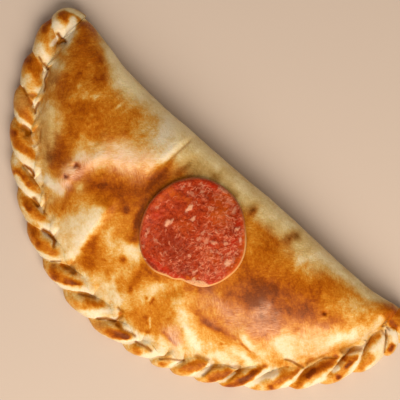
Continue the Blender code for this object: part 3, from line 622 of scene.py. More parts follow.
# the same as round dabs: level and half width, then the place of each dab
addedBakedShadeAndLightDabs = [
    (-0.3, 2, (-97, 18.6), (91.4, -5)), (-0.26, 2, (95.5, 10.5)), (-0.2, 1.5, (104.6, 22)),
    (-0.2, 1.6, (76.5, -21), (81.6, -16)), (-0.2, 2, (75.5, -13.5)), (-0.2, 3, (0, -34)),
    (-0.2, 3.5, (-23.5, -18)), (-0.2, 3.6, (24, -25)), (-0.18, 2.5, (77, 23)), (-0.18, 3, (-8, -41)),
    (-0.18, 3.5, (-62, 0)), (-0.16, 2.5, (-89, 16)), (-0.16, 3, (-23.5, -11)), (-0.15, 1.3, (96.8, 10)),
    (-0.15, 2, (-110, 38)), (-0.15, 3, (-66, 31)), (-0.14, 2.5, (76, 43)), (-0.14, 3, (31, 0)),
    (-0.13, 2.5, (-19, -35)), (-0.13, 3, (-6, -22.5), (-36, 41.5)), (-0.12, 2, (15.5, -15.5), (18, 36)),
    (-0.12, 2.2, (65, -20), (89, -6)),
    (-0.12, 2.5, (57.5, 36), (-97, 17), (-24, -21.5), (108, 41), (-85, 47), (-72.5, -20.5)),
    (-0.12, 3, (-99, 40), (54, -13)), (-0.11, 2.5, (-18, 27), (25.5, -9)),
    (-0.11, 3, (-22, -15), (41, 28.5), (-44.5, 4.5), (31, 0), (-44.5, 29.5), (-54.5, 34), (35, -10),
     (7.5, -34.5)),
    (-0.1, 2.5, (-12, -48), (15, -20.5), (-55, 0), (21.5, -38.5), (-64.5, -14), (-2.5, -22.5), (50.5, -5.5),
     (-104, 20.5), (-97.5, 16.5)), (-0.1, 4, (-47, -8)), (-0.08, 3, (-25, 20), (44, 18)),
    (-0.08, 4, (-66, -5)), (-0.08, 5, (-84, 25)), (-0.07, 4, (-30, 8)), (0.08, 4, (-66, 24)),
    (0.1, 2.5, (84, 26), (62.5, -3), (25, 39)), (0.1, 3, (-53, 17), (66, -11), (-47.5, 20.5)),
    (0.11, 3, (42.5, -20.5), (21.5, -18), (-51, -4.5), (57, 22)),
    (0.12, 2.5, (10, -25), (-91.5, 8), (100, 22), (98, 37)),
    (0.12, 3, (-65, 10), (46, 10), (81, 18), (86.5, 32.5), (48, 40)), (0.14, 2.5, (99, 36)),
    (0.14, 3, (79, 19)), (0.15, 1.4, (85, -8)), (0.15, 2, (-24, 0), (101.5, 29)), (0.15, 2.5, (46, -29)),
    (0.15, 3, (-12, -36)), (0.16, 2.5, (-90.5, 25)), (0.18, 2.5, (-54, -12)), (0.18, 3, (-93.5, 0)),
    (0.2, 1.5, (-27, -44)), (0.2, 2, (-25, 0)), (0.2, 2.5, (65, -11)),
    (0.2, 3, (49.5, 40), (-100, 9), (31, 39), (-35, 22)), (0.2, 3.5, (19, -17)), (0.22, 1.6, (26, -44)),
    (0.25, 1.8, (-48.5, -31), (28.5, 37.2)), (0.25, 2, (-10, -10)), (0.25, 3, (-12, -9.5)),
    (0.6, 1.3, (-17.8, 31.8)), (0.8, 1.4, (-4.4, 39.8)), (0.9, 2.1, (18.8, 39.4)),
]
addedBakedShadeAndLightStrokes += [(level, width, place) for level, width, *places in addedBakedShadeAndLightDabs for place in places]
strokes = dict(bakedShadeAndLight=bakedShadeAndLightStrokes, raw=rawStrokes, paintedSheen=paintedSheenStrokes, hollowShade=hollowShadeStrokes, addedBakedShadeAndLight=addedBakedShadeAndLightStrokes)


def brushed(points, length, width, turnDeg, seed):
    # noise drawn out along one direction, for the marks that oil and a brush leave
    turn = math.radians(turnDeg)
    along = points[..., 0] * math.cos(turn) + points[..., 1] * math.sin(turn)
    across = points[..., 1] * math.cos(turn) - points[..., 0] * math.sin(turn)
    return softNoise(np.stack([along / length, across / width, points[..., 2] / length], axis=-1), 1, seed)


def strokeMask(x, y, wander, width, places, nearRope):
    # a stroke whose line wanders, with an edge that is sharper where it is narrow and near the rope
    loose = min(baking["wanderMost"], width / baking["wanderWidth"])
    mask = softStroke(x + loose * wander[0], y + loose * wander[1], width, places)
    sharp = 1 if width < baking["sharpBelow"] else 0.5 if width < baking["halfSharpBelow"] else 0
    return mix(mask, between(*baking["sharpEdge"], mask), sharp * nearRope)


def crustBaking(points, marks):
    # a level for the dome, the rope and the base; each stroke brings it to its own, old + (new - old) mask;
    # then come noise, the pale band and what is added
    x, y, z = np.moveaxis(points, -1, 0)
    onBody, onRope, onTop = marks["onBody"], marks["onRope"], 1 - marks["onBase"]
    wander = [noiseSum(points, baking[label]) for label in ("wanderX", "wanderY")]
    band = np.interp(x, *np.array(baking["foldBand"]).T) + noiseSum(points, baking["bandWander"])
    fromEdge = np.interp(x, *np.array(dough["foldLine"]).T) - y
    inBand = onBody * (1 - between(*baking["bandSoft"], fromEdge - band) * between(*baking["bandHeight"], z))
    share = np.mod(marks["number"], 1)
    rope = baking["rope"] + np.interp(share, *np.array(baking["overCrimp"]).T)
    rope = mix(baking["ropeOutside"], rope, between(*baking["outsideSpan"], np.sin(marks["ropeAngle"])))
    fingers = np.exp(-(marks["toRope"] / baking["fingerReach"]) ** 2)
    # painted shade in each crease of the rope and the dough beside it
    creaseShade = (onRope + onBody * fingers) * between(*baking["creaseReach"], share)
    creaseShade = creaseShade * between(*baking["creaseSpan"], np.cos(marks["ropeAngle"]))
    channels = dict(
        bakedShadeAndLight=onBody * mix(baking["dome"], rope, fingers) + onRope * rope + marks["onBase"] * baking["base"],
        raw=inBand * baking["bandRaw"], paintedSheen=np.zeros(x.shape), hollowShade=baking["creaseShadeLevel"] * creaseShade,
        addedBakedShadeAndLight=np.zeros(x.shape))
    nearRope = onRope + onBody * np.exp(-(marks["toRope"] / baking["sharpFromRope"]) ** 2)
    for label, drawn in strokes.items():
        for level, width, *places in drawn:
            mask = onTop * strokeMask(x, y, wander, width, places, nearRope)
            if label == "addedBakedShadeAndLight":
                channels["addedBakedShadeAndLight"] += level * mask
            else:
                channels[label] = mix(channels[label], level, mask)
    leftSide = between(*baking["leftOfSlice"], x)
    brush = 0
    for length, width, strength, *sides in baking["brushMarks"]:
        right, left = [brushed(points, length, width, turn, seed) for turn, seed in sides]
        brush += strength * mix(right, left, leftSide)
    bakedShadeAndLight = channels["bakedShadeAndLight"] + noiseSum(points, baking["cloud"])
    bakedShadeAndLight += onBody * (baking["brushStrength"] * brush + baking["domeMore"])
    pale = baking["bandLevel"] + noiseSum(points, baking["bandNoise"])
    channels["bakedShadeAndLight"] = mix(bakedShadeAndLight, pale, inBand * baking["bandShare"]) + channels.pop("addedBakedShadeAndLight")
    return {label: np.clip(value, 0, 1) for label, value in channels.items()}


print("dough: relief and baking")
points = points + gridNormals(points) * crustBumps(points, marks)[..., None]
points[..., 2] = np.maximum(points[..., 2], 0)
doughPiece = tubeMesh("baked_dough", points, crustBaking(points, marks))


def addNode(tree, kind, settings=None, links=None):
    # one node, its settings (inputs by name or number, else properties) and what feeds its inputs
    node = tree.nodes.new(kind)
    for label, value in (settings or {}).items():
        if not isinstance(label, int) and hasattr(node, label):
            setattr(node, label, value)
        else:
            node.inputs[label].default_value = value
    for label, output in (links or {}).items():
        tree.links.new(output, node.inputs[label])
    return node


def newMaterial(name):
    material = bpy.data.materials.new(name)
    material.use_nodes = True
    material.node_tree.nodes.clear()
    return material, material.node_tree


def pieceAttribute(tree, label):
    return addNode(tree, "ShaderNodeAttribute", dict(attribute_name=label)).outputs["Fac"]


def grainNoise(tree, coords, grain, detail, **settings):
    # noise whose grain is this many mm
    settings = dict(Scale=1 / (grain * mm), Detail=detail, **settings)
    return addNode(tree, "ShaderNodeTexNoise", settings, dict(Vector=coords)).outputs["Fac"]


def calculate(tree, operation, *values, clamp=False):
    # one maths node; each value is a number or what feeds the input
    settings, links = dict(operation=operation, use_clamp=clamp), {}
    for at, value in enumerate(values):
        (settings if isinstance(value, float) else links)[at] = value
    return addNode(tree, "ShaderNodeMath", settings, links).outputs[0]


def remap(tree, value, span, levels=(0, 1)):
    # the span's ends turned to the two levels, and held beyond them
    return addNode(tree, "ShaderNodeMapRange", dict(enumerate((*span, *levels), 1)), {0: value}).outputs[0]


def colourRamp(tree, factor, stops):
    ramp = addNode(tree, "ShaderNodeValToRGB", links={"Fac": factor})
    while len(ramp.color_ramp.elements) < len(stops):
        ramp.color_ramp.elements.new(0.5)
    for element, (place, colour) in zip(ramp.color_ramp.elements, stops):
        element.position, element.color = place, hexToLinear(colour)
    return ramp.outputs["Color"]


def layColour(tree, share, colour, under):
    # this hex colour laid over the colour under it
    settings = {"data_type": "RGBA", 7: hexToLinear(colour)}
    return addNode(tree, "ShaderNodeMix", settings, {0: share, 6: under}).outputs[2]


def oilySkin(tree, look, colour, mottle, bumps):
    # the shader of both pieces: roughness from the mottle, a soft coat, light that goes in, and bumps in mm
    links = {}
    for height, (strength, depth) in bumps:
        links["Height"] = height
        bump = addNode(tree, "ShaderNodeBump", dict(Strength=strength, Distance=depth * mm), links)
        links = dict(Normal=bump.outputs["Normal"])
    links["Base Color"] = colour
    links["Roughness"] = remap(tree, mottle, (0, 1), look["roughness"])
    shader = addNode(tree, "ShaderNodeBsdfPrincipled", {
        "Coat Weight": look["coat"], "Coat Roughness": look["coatRoughness"], "IOR": look["ior"],
        "Specular IOR Level": look["specular"], "Specular Tint": hexToLinear(look["glossTint"]),
        "Subsurface Weight": look["inside"], "Subsurface Radius": look["insideSpread"],
        "Subsurface Scale": look["insideDepth"] * mm}, links)
    addNode(tree, "ShaderNodeOutputMaterial", links=dict(Surface=shader.outputs["BSDF"]))


crust = dict(
    # cream where the dough is pale, then gold, amber and brown
    colours=[(0.0, "#E6D4B4"), (0.2, "#DCC08E"), (0.38, "#D09D4E"), (0.52, "#C47B1E"), (0.68, "#AC5A04"),
             (0.84, "#8E3F00"), (1.0, "#6A2800")],
    # the same levels where the dough is less baked, under the fold and beside the crimps
    rawColours=[(0.0, "#F4DEA8"), (0.3, "#DAB978"), (0.55, "#BF9A58"), (0.8, "#9A6E2E"), (1.0, "#6E4412")],
    # the sheen colour is a painted reflection of the light on the oil, and the hollow colour painted shade in
    # crevices
    paintedSheenColour="#E4BC9E", hollowShadeColour="#8A4C02", glossTint="#FFC078",
    mottle=(3.0, 5), speckle=(0.95, 3), pore=(0.45, 3), grainRoughness=0.6,  # grain in mm and detail
    streakLength=4.2, streakWidth=0.8, streakTurns=(0.65, -0.75),  # mm, and radians from the fold
    streakNoise=dict(Scale=1, Detail=3, Roughness=0.62, Distortion=1.6),
    patch=(13, 1), patchEdge=(0.44, 0.56),  # patches of one turn: grain in mm and detail, and how sharp
    mottleShare=0.42, speckleShare=0.36, streakShare=-0.30, evenShare=-0.24,  # added to the baked level
    sheenStreakFrom=(0.34, 0.64), sheenStreakShare=(0.3, 1.3),  # the painted sheen, a painted reflection on the oil, gathers in the streaks
    poreBump=(0.4, 0.2), streakBump=(0.6, 0.3), mottleBump=(0.6, 0.5),  # strength, and depth in mm
    roughness=(0.36, 0.52), coat=0.06, coatRoughness=0.3, ior=1.45, specular=0.25,
    inside=0.12, insideDepth=1, insideSpread=(2.2, 1.0, 0.4),
)


def streakNoise(tree, coords, turn):
    # noise drawn out along one direction
    turned = addNode(tree, "ShaderNodeMapping", dict(Rotation=(0, 0, turn)), dict(Vector=coords)).outputs[0]
    along, across = 1 / (crust["streakLength"] * mm), 1 / (crust["streakWidth"] * mm)
    settings = {"operation": "MULTIPLY", 1: (along, across, along)}
    drawn = addNode(tree, "ShaderNodeVectorMath", settings, {0: turned})
    links = dict(Vector=drawn.outputs[0])
    return addNode(tree, "ShaderNodeTexNoise", crust["streakNoise"], links).outputs["Fac"]


def bakedWheatCrust():
    # wheat dough, oiled and baked: gives a golden skin with brown patches, fine pores and an oily gloss, with
    # a painted sheen of reflected light and painted shade in its crevices
    material, tree = newMaterial("baked_wheat_crust")
    coords = addNode(tree, "ShaderNodeTexCoord").outputs["Object"]
    level, raw, paintedSheen, hollowShade = [pieceAttribute(tree, label) for label in ("bakedShadeAndLight", "raw", "paintedSheen", "hollowShade")]
    mottle, speckle, pores = [grainNoise(tree, coords, *crust[label], Roughness=crust["grainRoughness"])
                              for label in ("mottle", "speckle", "pore")]
    oneWay, otherWay = [streakNoise(tree, coords, turn) for turn in crust["streakTurns"]]
    either = remap(tree, grainNoise(tree, coords, *crust["patch"]), crust["patchEdge"])
    streak = addNode(tree, "ShaderNodeMix", links={0: either, 2: oneWay, 3: otherWay}).outputs[0]
    for texture, share in ((mottle, "mottleShare"), (speckle, "speckleShare"), (streak, "streakShare")):
        level = calculate(tree, "MULTIPLY_ADD", texture, crust[share], level)
    level = calculate(tree, "ADD", level, crust["evenShare"], clamp=True)
    bakedShadeAndLight, pale = [colourRamp(tree, level, crust[label]) for label in ("colours", "rawColours")]
    colour = addNode(tree, "ShaderNodeMix", dict(data_type="RGBA"), {0: raw, 6: bakedShadeAndLight, 7: pale}).outputs[2]
    # a painted sheen, the light's reflection on the oil, laid on along the streaks, then painted shade in the
    # crevices
    sheenStreaks = remap(tree, streak, crust["sheenStreakFrom"], crust["sheenStreakShare"])
    paintedSheenShare = calculate(tree, "MULTIPLY", paintedSheen, sheenStreaks, clamp=True)
    colour = layColour(tree, paintedSheenShare, crust["paintedSheenColour"], colour)
    colour = layColour(tree, hollowShade, crust["hollowShadeColour"], colour)
    bumps = [(pores, crust["poreBump"]), (streak, crust["streakBump"]), (mottle, crust["mottleBump"])]
    oilySkin(tree, crust, colour, mottle, bumps)
    return material


doughPiece.data.materials.append(bakedWheatCrust())
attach(doughPiece, "root")
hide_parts("folded_dough")

sliceBody = dict(  # lengths in mm, angles in degrees
    centreX=5.85, centreY=11.55, radius=24.95, thickness=2.3, edgeWidth=1.25,
    sides=560, topRings=132, edgeRings=12, baseRings=12,
    # uneven outline: angle and spread, and how far the edge moves
    outline=[(128, 32, 1.2), (-58, 15, -2.4), (-65, 7, -0.8), (-80, 11, -1.6), (48, 22, -1.2),
             (-115, 22, 0.9), (8, 20, 0.3)],
    # the smooth surface it lies on: its degree, the dough that counts, and how far round it that is fitted
    gap=0.12, fitDegree=7, fitScale=30, fitAbove=12, fitBeyond=4, clearBeyond=0.5,
    # relief: size, rise and seed of the noises, the rise of each mark, and the rim's rise, place and spread
    unevenness=[(11, 0.30, 71), (4.5, 0.16, 72), (1.9, 0.10, 73), (0.9, 0.05, 74)],
    markRise=dict(fat=0.16, fleck=0.14, dark=-0.22), liftedRim=(0.35, 1.5, 1.6),
    # noises that move the pieces of fat in x and y, and how much more the spots
    wanderX=[(1.3, 0.55, 81), (0.6, 0.4, 85)], wanderY=[(1.3, 0.55, 82), (0.6, 0.4, 86)], spotWander=2,
    fatLevel=0.95, fatPower=1.7, fatEdge=(0.1, 0.8),
)

# pieces of fat: x, y, two radii, turn in degrees, level
fatPieces = [
    (-4.0, 18.9, 1.1, 2.2, 5, 1.0), (-6.8, 7.1, 1.5, 1.5, -30, 0.95), (-5.7, 8.9, 0.7, 1.4, 15, 0.8),
    (26.1, 12.0, 1.5, 2.0, 0, 1.0), (26.6, 15.0, 0.8, 1.4, 0, 0.5), (19.2, 26.6, 0.8, 1.3, 0, 0.95),
    (22.7, 23.9, 1.2, 0.9, -40, 0.9), (19.0, 18.0, 1.3, 0.9, 0, 0.7), (23.6, 16.0, 0.5, 2.3, 0, 0.6),
    (0.6, 16.5, 0.8, 1.3, 0, 0.8), (8.4, 14.8, 0.6, 1.8, 0, 0.55), (12.0, 13.3, 0.8, 2.1, 0, 0.6),
    (8.6, 11.5, 0.6, 1.2, -20, 0.65), (11.0, 3.0, 1.2, 0.8, 45, 0.7), (12.0, 31.8, 0.8, 1.7, 0, 0.65),
    (11.4, 27.9, 1.7, 0.6, 15, 0.7), (-12.7, 23.8, 0.5, 1.5, 20, 0.6), (-7.4, 24.3, 2.0, 1.2, 20, 0.5),
    (-10.3, -2.8, 0.6, 2.4, 22, 0.6), (17.5, -0.6, 0.5, 1.3, -15, 0.7), (-4.7, 28.6, 0.6, 1.4, -15, 0.65),
    (-6.3, 30.8, 1.1, 1.1, 0, 0.5), (16.8, 11.2, 1.0, 1.1, 0, 0.6), (19.5, 12.9, 1.8, 0.5, 5, 0.55),
    (22.5, 11.7, 0.6, 1.0, 0, 0.5), (14.8, 14.8, 1.6, 0.5, 25, 0.6), (13.0, 19.2, 0.9, 0.7, 0, 0.55),
    (11.2, 16.4, 1.4, 0.5, 5, 0.55), (-15.0, 9.8, 0.5, 1.3, -25, 0.5), (-5.4, -2.8, 1.1, 0.7, 0, 0.5),
    (-2.7, -2.1, 0.9, 0.6, 20, 0.5), (-7.6, -8.2, 0.8, 0.8, 0, 0.55), (22.0, 3.0, 0.9, 0.9, 0, 0.5),
    (24.5, 5.6, 0.5, 1.0, 0, 0.5), (26.0, 18.3, 1.0, 0.6, 0, 0.6), (8.0, 33.4, 2.0, 1.4, 0, 0.45),
    (5.2, 22.6, 0.4, 1.5, 0, 0.55), (3.4, 25.4, 1.3, 0.7, 30, 0.45), (-3.2, -12.1, 0.8, 0.4, 0, 0.9),
    (1.5, 35.4, 3.0, 0.5, 3, 0.7), (14.0, -7.6, 0.4, 1.0, 0, 0.4), (1.6, -3.8, 0.5, 1.8, 0, 0.45),
]

# how the meat between them differs: x, y, two radii, turn in degrees, level
meatSpots = dict(
    dark=[(3, 2, 10, 7, 0, 0.55), (0, 4, 5, 3.5, 0, 0.55), (14.8, -3.2, 2.4, 2.0, 0, 0.85),
          (1, -12.0, 3.4, 0.9, 0, 0.9), (-3, 15.8, 2.2, 1.2, 0, 0.6), (17, 26, 2.4, 3, 0, 0.6),
          (-12.3, 21.4, 1.6, 0.9, 0, 0.7), (17, 2.6, 2.4, 1.0, 0, 0.6), (-7, 28.2, 3, 1.6, 20, 0.5),
          (7, -6.5, 3, 1.6, 0, 0.45), (-8, 16.6, 1.8, 1.2, 0, 0.5), (8, -10.6, 3, 0.7, 0, 0.6),
          (14, -4, 5, 4, 0, 0.65), (18, -2, 3, 1.6, 30, 0.5), (-4.5, 5.5, 2, 1.6, 0, 0.4)],
    red=[(25.2, 0.6, 3, 1.4, 10, 0.9), (22, 20.4, 3, 2.6, 0, 0.7), (-3, 33, 4, 1.6, 20, 0.8),
         (5, -10, 8, 1.2, 4, 0.8), (14, -8.4, 2.6, 1.4, 35, 0.9), (18.5, 29, 2, 2.4, 35, 0.7),
         (27.5, 6.5, 1.2, 4, 0, 0.7), (15, 12.6, 2, 1.0, 20, 0.6), (-13, 6, 2, 2.4, 0, 0.5)],
    orange=[(8.5, 26, 4.4, 4.4, 0, 0.8), (8.5, 30, 2.4, 1.2, 0, 0.8), (-14, 18.6, 3.6, 1.5, 10, 0.85),
            (-7.4, 20.6, 2.2, 1.0, 0, 0.7), (28.6, 14, 1.2, 5, 0, 0.8), (17.8, -4.4, 3, 0.9, 38, 1.0),
            (0, 12.5, 4, 2, 0, 0.4), (-1, 9, 4, 2, 0, 0.3), (19, 9, 4, 1.5, 0, 0.4),
            (-16.5, 14, 1.2, 4, 0, 0.5), (26, 22, 1.2, 4, 40, 0.6), (4, 31, 3, 4, 0, 0.5),
            (6, 35, 5, 1.4, 0, 0.7)],
)

# pale flecks of fat, which also stand as painted glints of the oil
fleckAndGlintDraw = dict(  # lengths in mm, angles in degrees
    seed=8, count=1200, reach=24, length=(0.7, 2.4), width=(0.16, 0.28), level=(0.25, 1.0), window=6,
    # dense towards +x and +y, where they lean like the grain of the meat; elsewhere they follow the rim
    denseX=(-2, 14), denseY=(20, 30), leanFrom=0.4, lean=(78, 28), alongRim=(90, 20),
    strongChance=(0.12, 0.87), weakLevel=0.15,
    few=(14, -5, 5, 4, 0), fewLess=0.6,  # x, y, two radii and turn of a place with few of them
)

sliceRim = dict(  # lengths in mm, angles in degrees, noises as size, amount and seed
    # casing: width, where it fades, its level on the shaded upper side, and where the lower side, which faces
    # the light and is painted brighter as a highlight, begins and ends
    casingWidth=0.85, casingNoise=[(9, 0.35, 83)], casingFade=(1.1, 0.6), casingShadedLevel=0.25,
    casingLitSpan=[(-112, -88), (58, 34)],
    # a wedge of fat inside it: middle, spread and width
    wedge=(-44, 11, 4.0), wedgeLeast=0.3, wedgeNoise=[(0.8, 0.3, 84)], wedgeFade=(1.0, 0.6),
    wedgeEnds=(0.1, 0.35), wedgeLevel=0.7, wedgeMottle=[(0.5, 0.4, 85)],
    # orange meat beside the casing: how far in, between which angles, and its level
    orangeInward=(2.8, 1.2), orangeSpan=[(-30, 0), (75, 50)], orangeLevel=0.75,
)


def sliceReach(angleDeg):
    # distance from middle to edge: the radius plus exp(-(angle / spread)^2) for each uneven place
    reach = np.full(angleDeg.shape, float(sliceBody["radius"]))
    for middle, spread, move in sliceBody["outline"]:
        away = np.mod(angleDeg - middle + 180, 360) - 180
        reach += move * np.exp(-(away / spread) ** 2)
    return reach


def sliceSurface():
    # even rings over the top, half an ellipse round the edge, and even rings under it, each times the reach
    angle = np.linspace(-180, 180, sliceBody["sides"], endpoint=False)[None, :]
    reach = sliceReach(angle)
    half = np.linspace(math.pi / 2, -math.pi / 2, sliceBody["edgeRings"] + 1)
    top = np.linspace(0, 1, sliceBody["topRings"] + 1)[:-1]
    base = np.linspace(1, 0, sliceBody["baseRings"] + 1)[1:]
    flat = np.concatenate([top, np.ones(half.shape), base])[:, None]
    bulge = np.concatenate([np.zeros(top.shape), np.cos(half), np.zeros(base.shape)])[:, None]
    height = np.concatenate([np.ones(top.shape), 0.5 + 0.5 * np.sin(half), np.zeros(base.shape)])[:, None]
    distance = flat * (reach - sliceBody["edgeWidth"]) + bulge * sliceBody["edgeWidth"]
    x = sliceBody["centreX"] + distance * np.cos(np.radians(angle))
    y = sliceBody["centreY"] + distance * np.sin(np.radians(angle))
    return x, y, height + 0 * reach, reach - distance, angle + 0 * distance


def restingHeight(x, y):
    # the dough's top under the slice as a sum of x^i y^j, found by least squares, lifted until it is clear
    middleX, middleY, radius = sliceBody["centreX"], sliceBody["centreY"], sliceBody["radius"]
    scale, degree = sliceBody["fitScale"], sliceBody["fitDegree"]

    def powers(px, py):
        u, v = (px - middleX) / scale, (py - middleY) / scale
        return np.stack([u ** i * v ** j for i in range(degree + 1) for j in range(degree + 1 - i)], axis=-1)
    topX, topY, topZ = points[points[..., 2] > sliceBody["fitAbove"]].T
    away = np.hypot(topX - middleX, topY - middleY)
    near, below = away < radius + sliceBody["fitBeyond"], away < radius + sliceBody["clearBeyond"]
    weights = np.linalg.lstsq(powers(topX[near], topY[near]), topZ[near], rcond=None)[0]
    short = topZ[below] - powers(topX[below], topY[below]) @ weights
    print("slice rests on the dough: gap", round(short.max() - short.min(), 2), "mm at most")
    return powers(x, y) @ weights + short.max() + sliceBody["gap"]


def drawFlecksAndGlints(x, y, moveX, moveY, onMeat):
    # pale flecks of fat and painted glints of oil: short thin ovals exp(-r^2) at random places, the strongest
    # of those that meet
    rng = np.random.default_rng(fleckAndGlintDraw["seed"])
    flecksAndGlints = np.zeros(x.shape)
    for _ in range(fleckAndGlintDraw["count"]):
        away, turn = fleckAndGlintDraw["reach"] * math.sqrt(rng.random()), rng.uniform(-math.pi, math.pi)
        placeX = sliceBody["centreX"] + away * math.cos(turn)
        placeY = sliceBody["centreY"] + away * math.sin(turn)
        dense = between(*fleckAndGlintDraw["denseX"], placeX) + between(*fleckAndGlintDraw["denseY"], placeY)
        length, width, level = [rng.uniform(*fleckAndGlintDraw[label]) for label in ("length", "width", "level")]
        if dense > fleckAndGlintDraw["leanFrom"]:
            lean = rng.normal(*fleckAndGlintDraw["lean"])
        else:
            lean = math.degrees(turn) + rng.normal(*fleckAndGlintDraw["alongRim"])
        level *= 1 if rng.random() < mix(*fleckAndGlintDraw["strongChance"], dense) else fleckAndGlintDraw["weakLevel"]
        near = onMeat & (np.maximum(np.abs(x - placeX), np.abs(y - placeY)) < fleckAndGlintDraw["window"])
        spot = (placeX, placeY, length / 2, width, lean)
        oval = softSpot((x + moveX)[near], (y + moveY)[near], spot)
        flecksAndGlints[near] = np.maximum(flecksAndGlints[near], level * oval)
    return flecksAndGlints


def sliceMarks(x, y, inward, angle):
    # levels of fat, dark, red, orange, flecks of fat that are also painted glints, casing with a painted
    # highlight on its lit side, and yellow fat over the slice
    flat = np.stack([x, y, 0 * x], axis=-1)
    moveX, moveY = [noiseSum(flat, sliceBody[label]) for label in ("wanderX", "wanderY")]
    marks = {label: np.zeros(x.shape) for label in ("fat", "dark", "red", "orange")}
    for label, spots in meatSpots.items():
        for *spot, level in spots:
            oval = softSpot(x + sliceBody["spotWander"] * moveX, y + sliceBody["spotWander"] * moveY, spot)
            marks[label] = np.maximum(marks[label], level * oval)
    for *spot, level in fatPieces:
        oval = between(*sliceBody["fatEdge"], softSpot(x + moveX, y + moveY, spot))
        marks["fat"] = np.maximum(marks["fat"], sliceBody["fatLevel"] * level ** sliceBody["fatPower"] * oval)
    flecksAndGlints = drawFlecksAndGlints(x, y, moveX, moveY, inward > sliceRim["casingWidth"])
    marks["fleck"] = flecksAndGlints * (1 - fleckAndGlintDraw["fewLess"] * softSpot(x, y, fleckAndGlintDraw["few"]))
    roundEdge = np.stack([angle, 0 * x, 0 * x], axis=-1)
    width = sliceRim["casingWidth"] * (1 + noiseSum(roundEdge, sliceRim["casingNoise"]))
    # the casing is painted brighter on the side that faces the light, a painted highlight, and dimmer on the
    # shaded side
    casingLitShare = np.prod([between(*span, angle) for span in sliceRim["casingLitSpan"]], axis=0)
    casingLitLevel = mix(sliceRim["casingShadedLevel"], 1, casingLitShare)
    marks["casing"] = between(*sliceRim["casingFade"], inward / width) * casingLitLevel
    middle, spread, widest = sliceRim["wedge"]
    wedge = np.exp(-((angle - middle) / spread) ** 2)
    depth = inward / (sliceRim["wedgeLeast"] + widest * wedge) + noiseSum(flat, sliceRim["wedgeNoise"])
    marks["yellow"] = between(*sliceRim["wedgeFade"], depth) * between(*sliceRim["wedgeEnds"], wedge)
    marks["yellow"] *= sliceRim["wedgeLevel"] + noiseSum(flat, sliceRim["wedgeMottle"])
    beside = np.prod([between(*span, angle) for span in sliceRim["orangeSpan"]], axis=0)
    beside = beside * between(*sliceRim["orangeInward"], inward)
    marks["orange"] = np.maximum(marks["orange"], sliceRim["orangeLevel"] * beside)
    return marks


def sliceRelief(x, y, marks, inward):
    # soft noises, raised fat and flecks, and a rim that stands up as exp(-d^2)
    flat = np.stack([x, y, 0 * x], axis=-1)
    rise = noiseSum(flat, sliceBody["unevenness"])
    rise += sum(amount * marks[label] for label, amount in sliceBody["markRise"].items())
    lift, place, spread = sliceBody["liftedRim"]
    return rise + lift * np.exp(-((inward - place) / spread) ** 2)


print("slice")
sliceX, sliceY, sliceRise, sliceInward, sliceAngle = sliceSurface()
sliceAttributes = sliceMarks(sliceX, sliceY, sliceInward, sliceAngle)
sliceThickness = sliceBody["thickness"] + sliceRelief(sliceX, sliceY, sliceAttributes, sliceInward)
sliceZ = restingHeight(sliceX, sliceY) + sliceRise * sliceThickness
slicePoints = np.stack([sliceX, sliceY, sliceZ], axis=-1)[:, ::-1]
sliceAttributes = {label: value[:, ::-1] for label, value in sliceAttributes.items()}
slicePiece = tubeMesh("cured_slice", slicePoints, sliceAttributes)

meat = dict(
    # maroon lean, then red and a lighter red as the meat gets finer
    colours=[(0.0, "#6C1404"), (0.35, "#902608"), (0.6, "#A43210"), (0.85, "#B23E18"), (1.0, "#BE5028")],
    # laid over it in this order; the flecks are pale fat and also painted glints of oil, and the casing is
    # painted brighter where it faces the light
    marks=dict(dark="#701606", orange="#BC500E", red="#B42008", fleck="#D8825E", fat="#DCA07C",
               casing="#D49A5C", yellow="#D8A676"),
    mottle=(1.8, 4), grain=(0.55, 4), grainRoughness=0.65,  # grain in mm and detail
    contrast=(0.72, 1.28),  # the span of their sum that is used
    grainBump=(0.6, 0.25), mottleBump=(0.5, 0.5),  # strength, and depth in mm
    glossTint="#FFA070", roughness=(0.25, 0.5), coat=0.06, coatRoughness=0.22, ior=1.45, specular=0.3,
    inside=0.1, insideDepth=1, insideSpread=(2.0, 0.6, 0.3),
)


def curedSausage():
    # coarse pork and fat, cured with paprika, cut and baked: gives mottled red meat, pale fat and oily gloss
    material, tree = newMaterial("cured_sausage_cut")
    coords = addNode(tree, "ShaderNodeTexCoord").outputs["Object"]
    mottle, grain = [grainNoise(tree, coords, *meat[label], Roughness=meat["grainRoughness"])
                     for label in ("mottle", "grain")]
    level = remap(tree, calculate(tree, "ADD", mottle, grain), meat["contrast"])
    colour = colourRamp(tree, level, meat["colours"])
    for label, over in meat["marks"].items():
        colour = layColour(tree, pieceAttribute(tree, label), over, colour)
    oilySkin(tree, meat, colour, mottle, [(grain, meat["grainBump"]), (mottle, meat["mottleBump"])])
    return material


slicePiece.data.materials.append(curedSausage())
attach(slicePiece, "root")
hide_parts("sausage_slice")

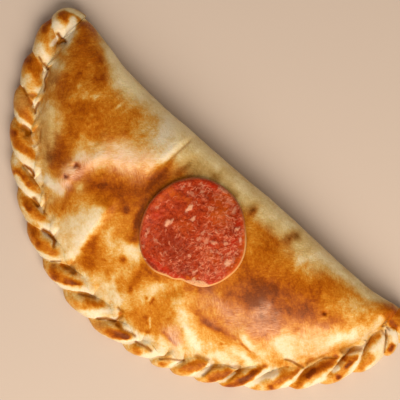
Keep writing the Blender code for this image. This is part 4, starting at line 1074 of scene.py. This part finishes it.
view = dict(  # lengths in metres
    # the camera looks straight down and is turned like the photo; the frame's width is at the aim's height
    turn=math.radians(42.5), aim=(-2.8 * mm, 24.9 * mm), height=1.2, aimHeight=12 * mm, frameWidth=186 * mm,
    sensorWidth=36, floorSize=4, floorColour="#C6B3A3", floorRoughness=0.8, sky="#FFF6EC", skyStrength=0.3,
    # square soft lights: away towards the picture's lower edge, or the upper one if negative
    lightTurn=math.radians(52), window=dict(size=0.8, power=13.4, colour="#FFF6EA", away=0.61, height=0.72),
    fill=dict(size=0.9, power=0.3, colour="#FFF8F0", away=-0.6, height=0.9),
)


def addFloor():
    bpy.ops.mesh.primitive_plane_add(size=view["floorSize"])
    floor = bpy.context.object
    floor.name = "floor"
    material, tree = newMaterial("matt_paper_floor")
    shader = addNode(tree, "ShaderNodeBsdfPrincipled",
                     {"Base Color": hexToLinear(view["floorColour"]), "Roughness": view["floorRoughness"]})
    addNode(tree, "ShaderNodeOutputMaterial", links=dict(Surface=shader.outputs["BSDF"]))
    floor.data.materials.append(material)


def addAreaLight(name):
    # faces the part's origin
    light = view[name]
    data = bpy.data.lights.new(name, "AREA")
    data.shape, data.size, data.energy = "SQUARE", light["size"], light["power"]
    data.color = hexToLinear(light["colour"])[:3]
    away, turn = light["away"], view["lightTurn"]
    place = Vector((math.sin(turn) * away, -math.cos(turn) * away, light["height"]))
    lamp = bpy.data.objects.new(name, data)
    lamp.location = place
    lamp.rotation_euler = (-place).to_track_quat("-Z", "Y").to_euler()
    bpy.context.scene.collection.objects.link(lamp)


def addCamera():
    data = bpy.data.cameras.new("camera")
    data.sensor_width = view["sensorWidth"]
    data.lens = view["sensorWidth"] * (view["height"] - view["aimHeight"]) / view["frameWidth"]
    camera = bpy.data.objects.new("camera", data)
    camera.location = (*view["aim"], view["height"])
    camera.rotation_euler = (0, 0, view["turn"])
    bpy.context.scene.collection.objects.link(camera)
    bpy.context.scene.camera = camera


def addSky():
    world = bpy.data.worlds.new("room")
    world.use_nodes = True
    background = world.node_tree.nodes["Background"]
    background.inputs["Color"].default_value = hexToLinear(view["sky"])
    background.inputs["Strength"].default_value = view["skyStrength"]
    bpy.context.scene.world = world


print("stage")
addFloor()
addAreaLight("window")
addAreaLight("fill")
addCamera()
addSky()
bpy.context.scene.view_settings.view_transform = "Standard"
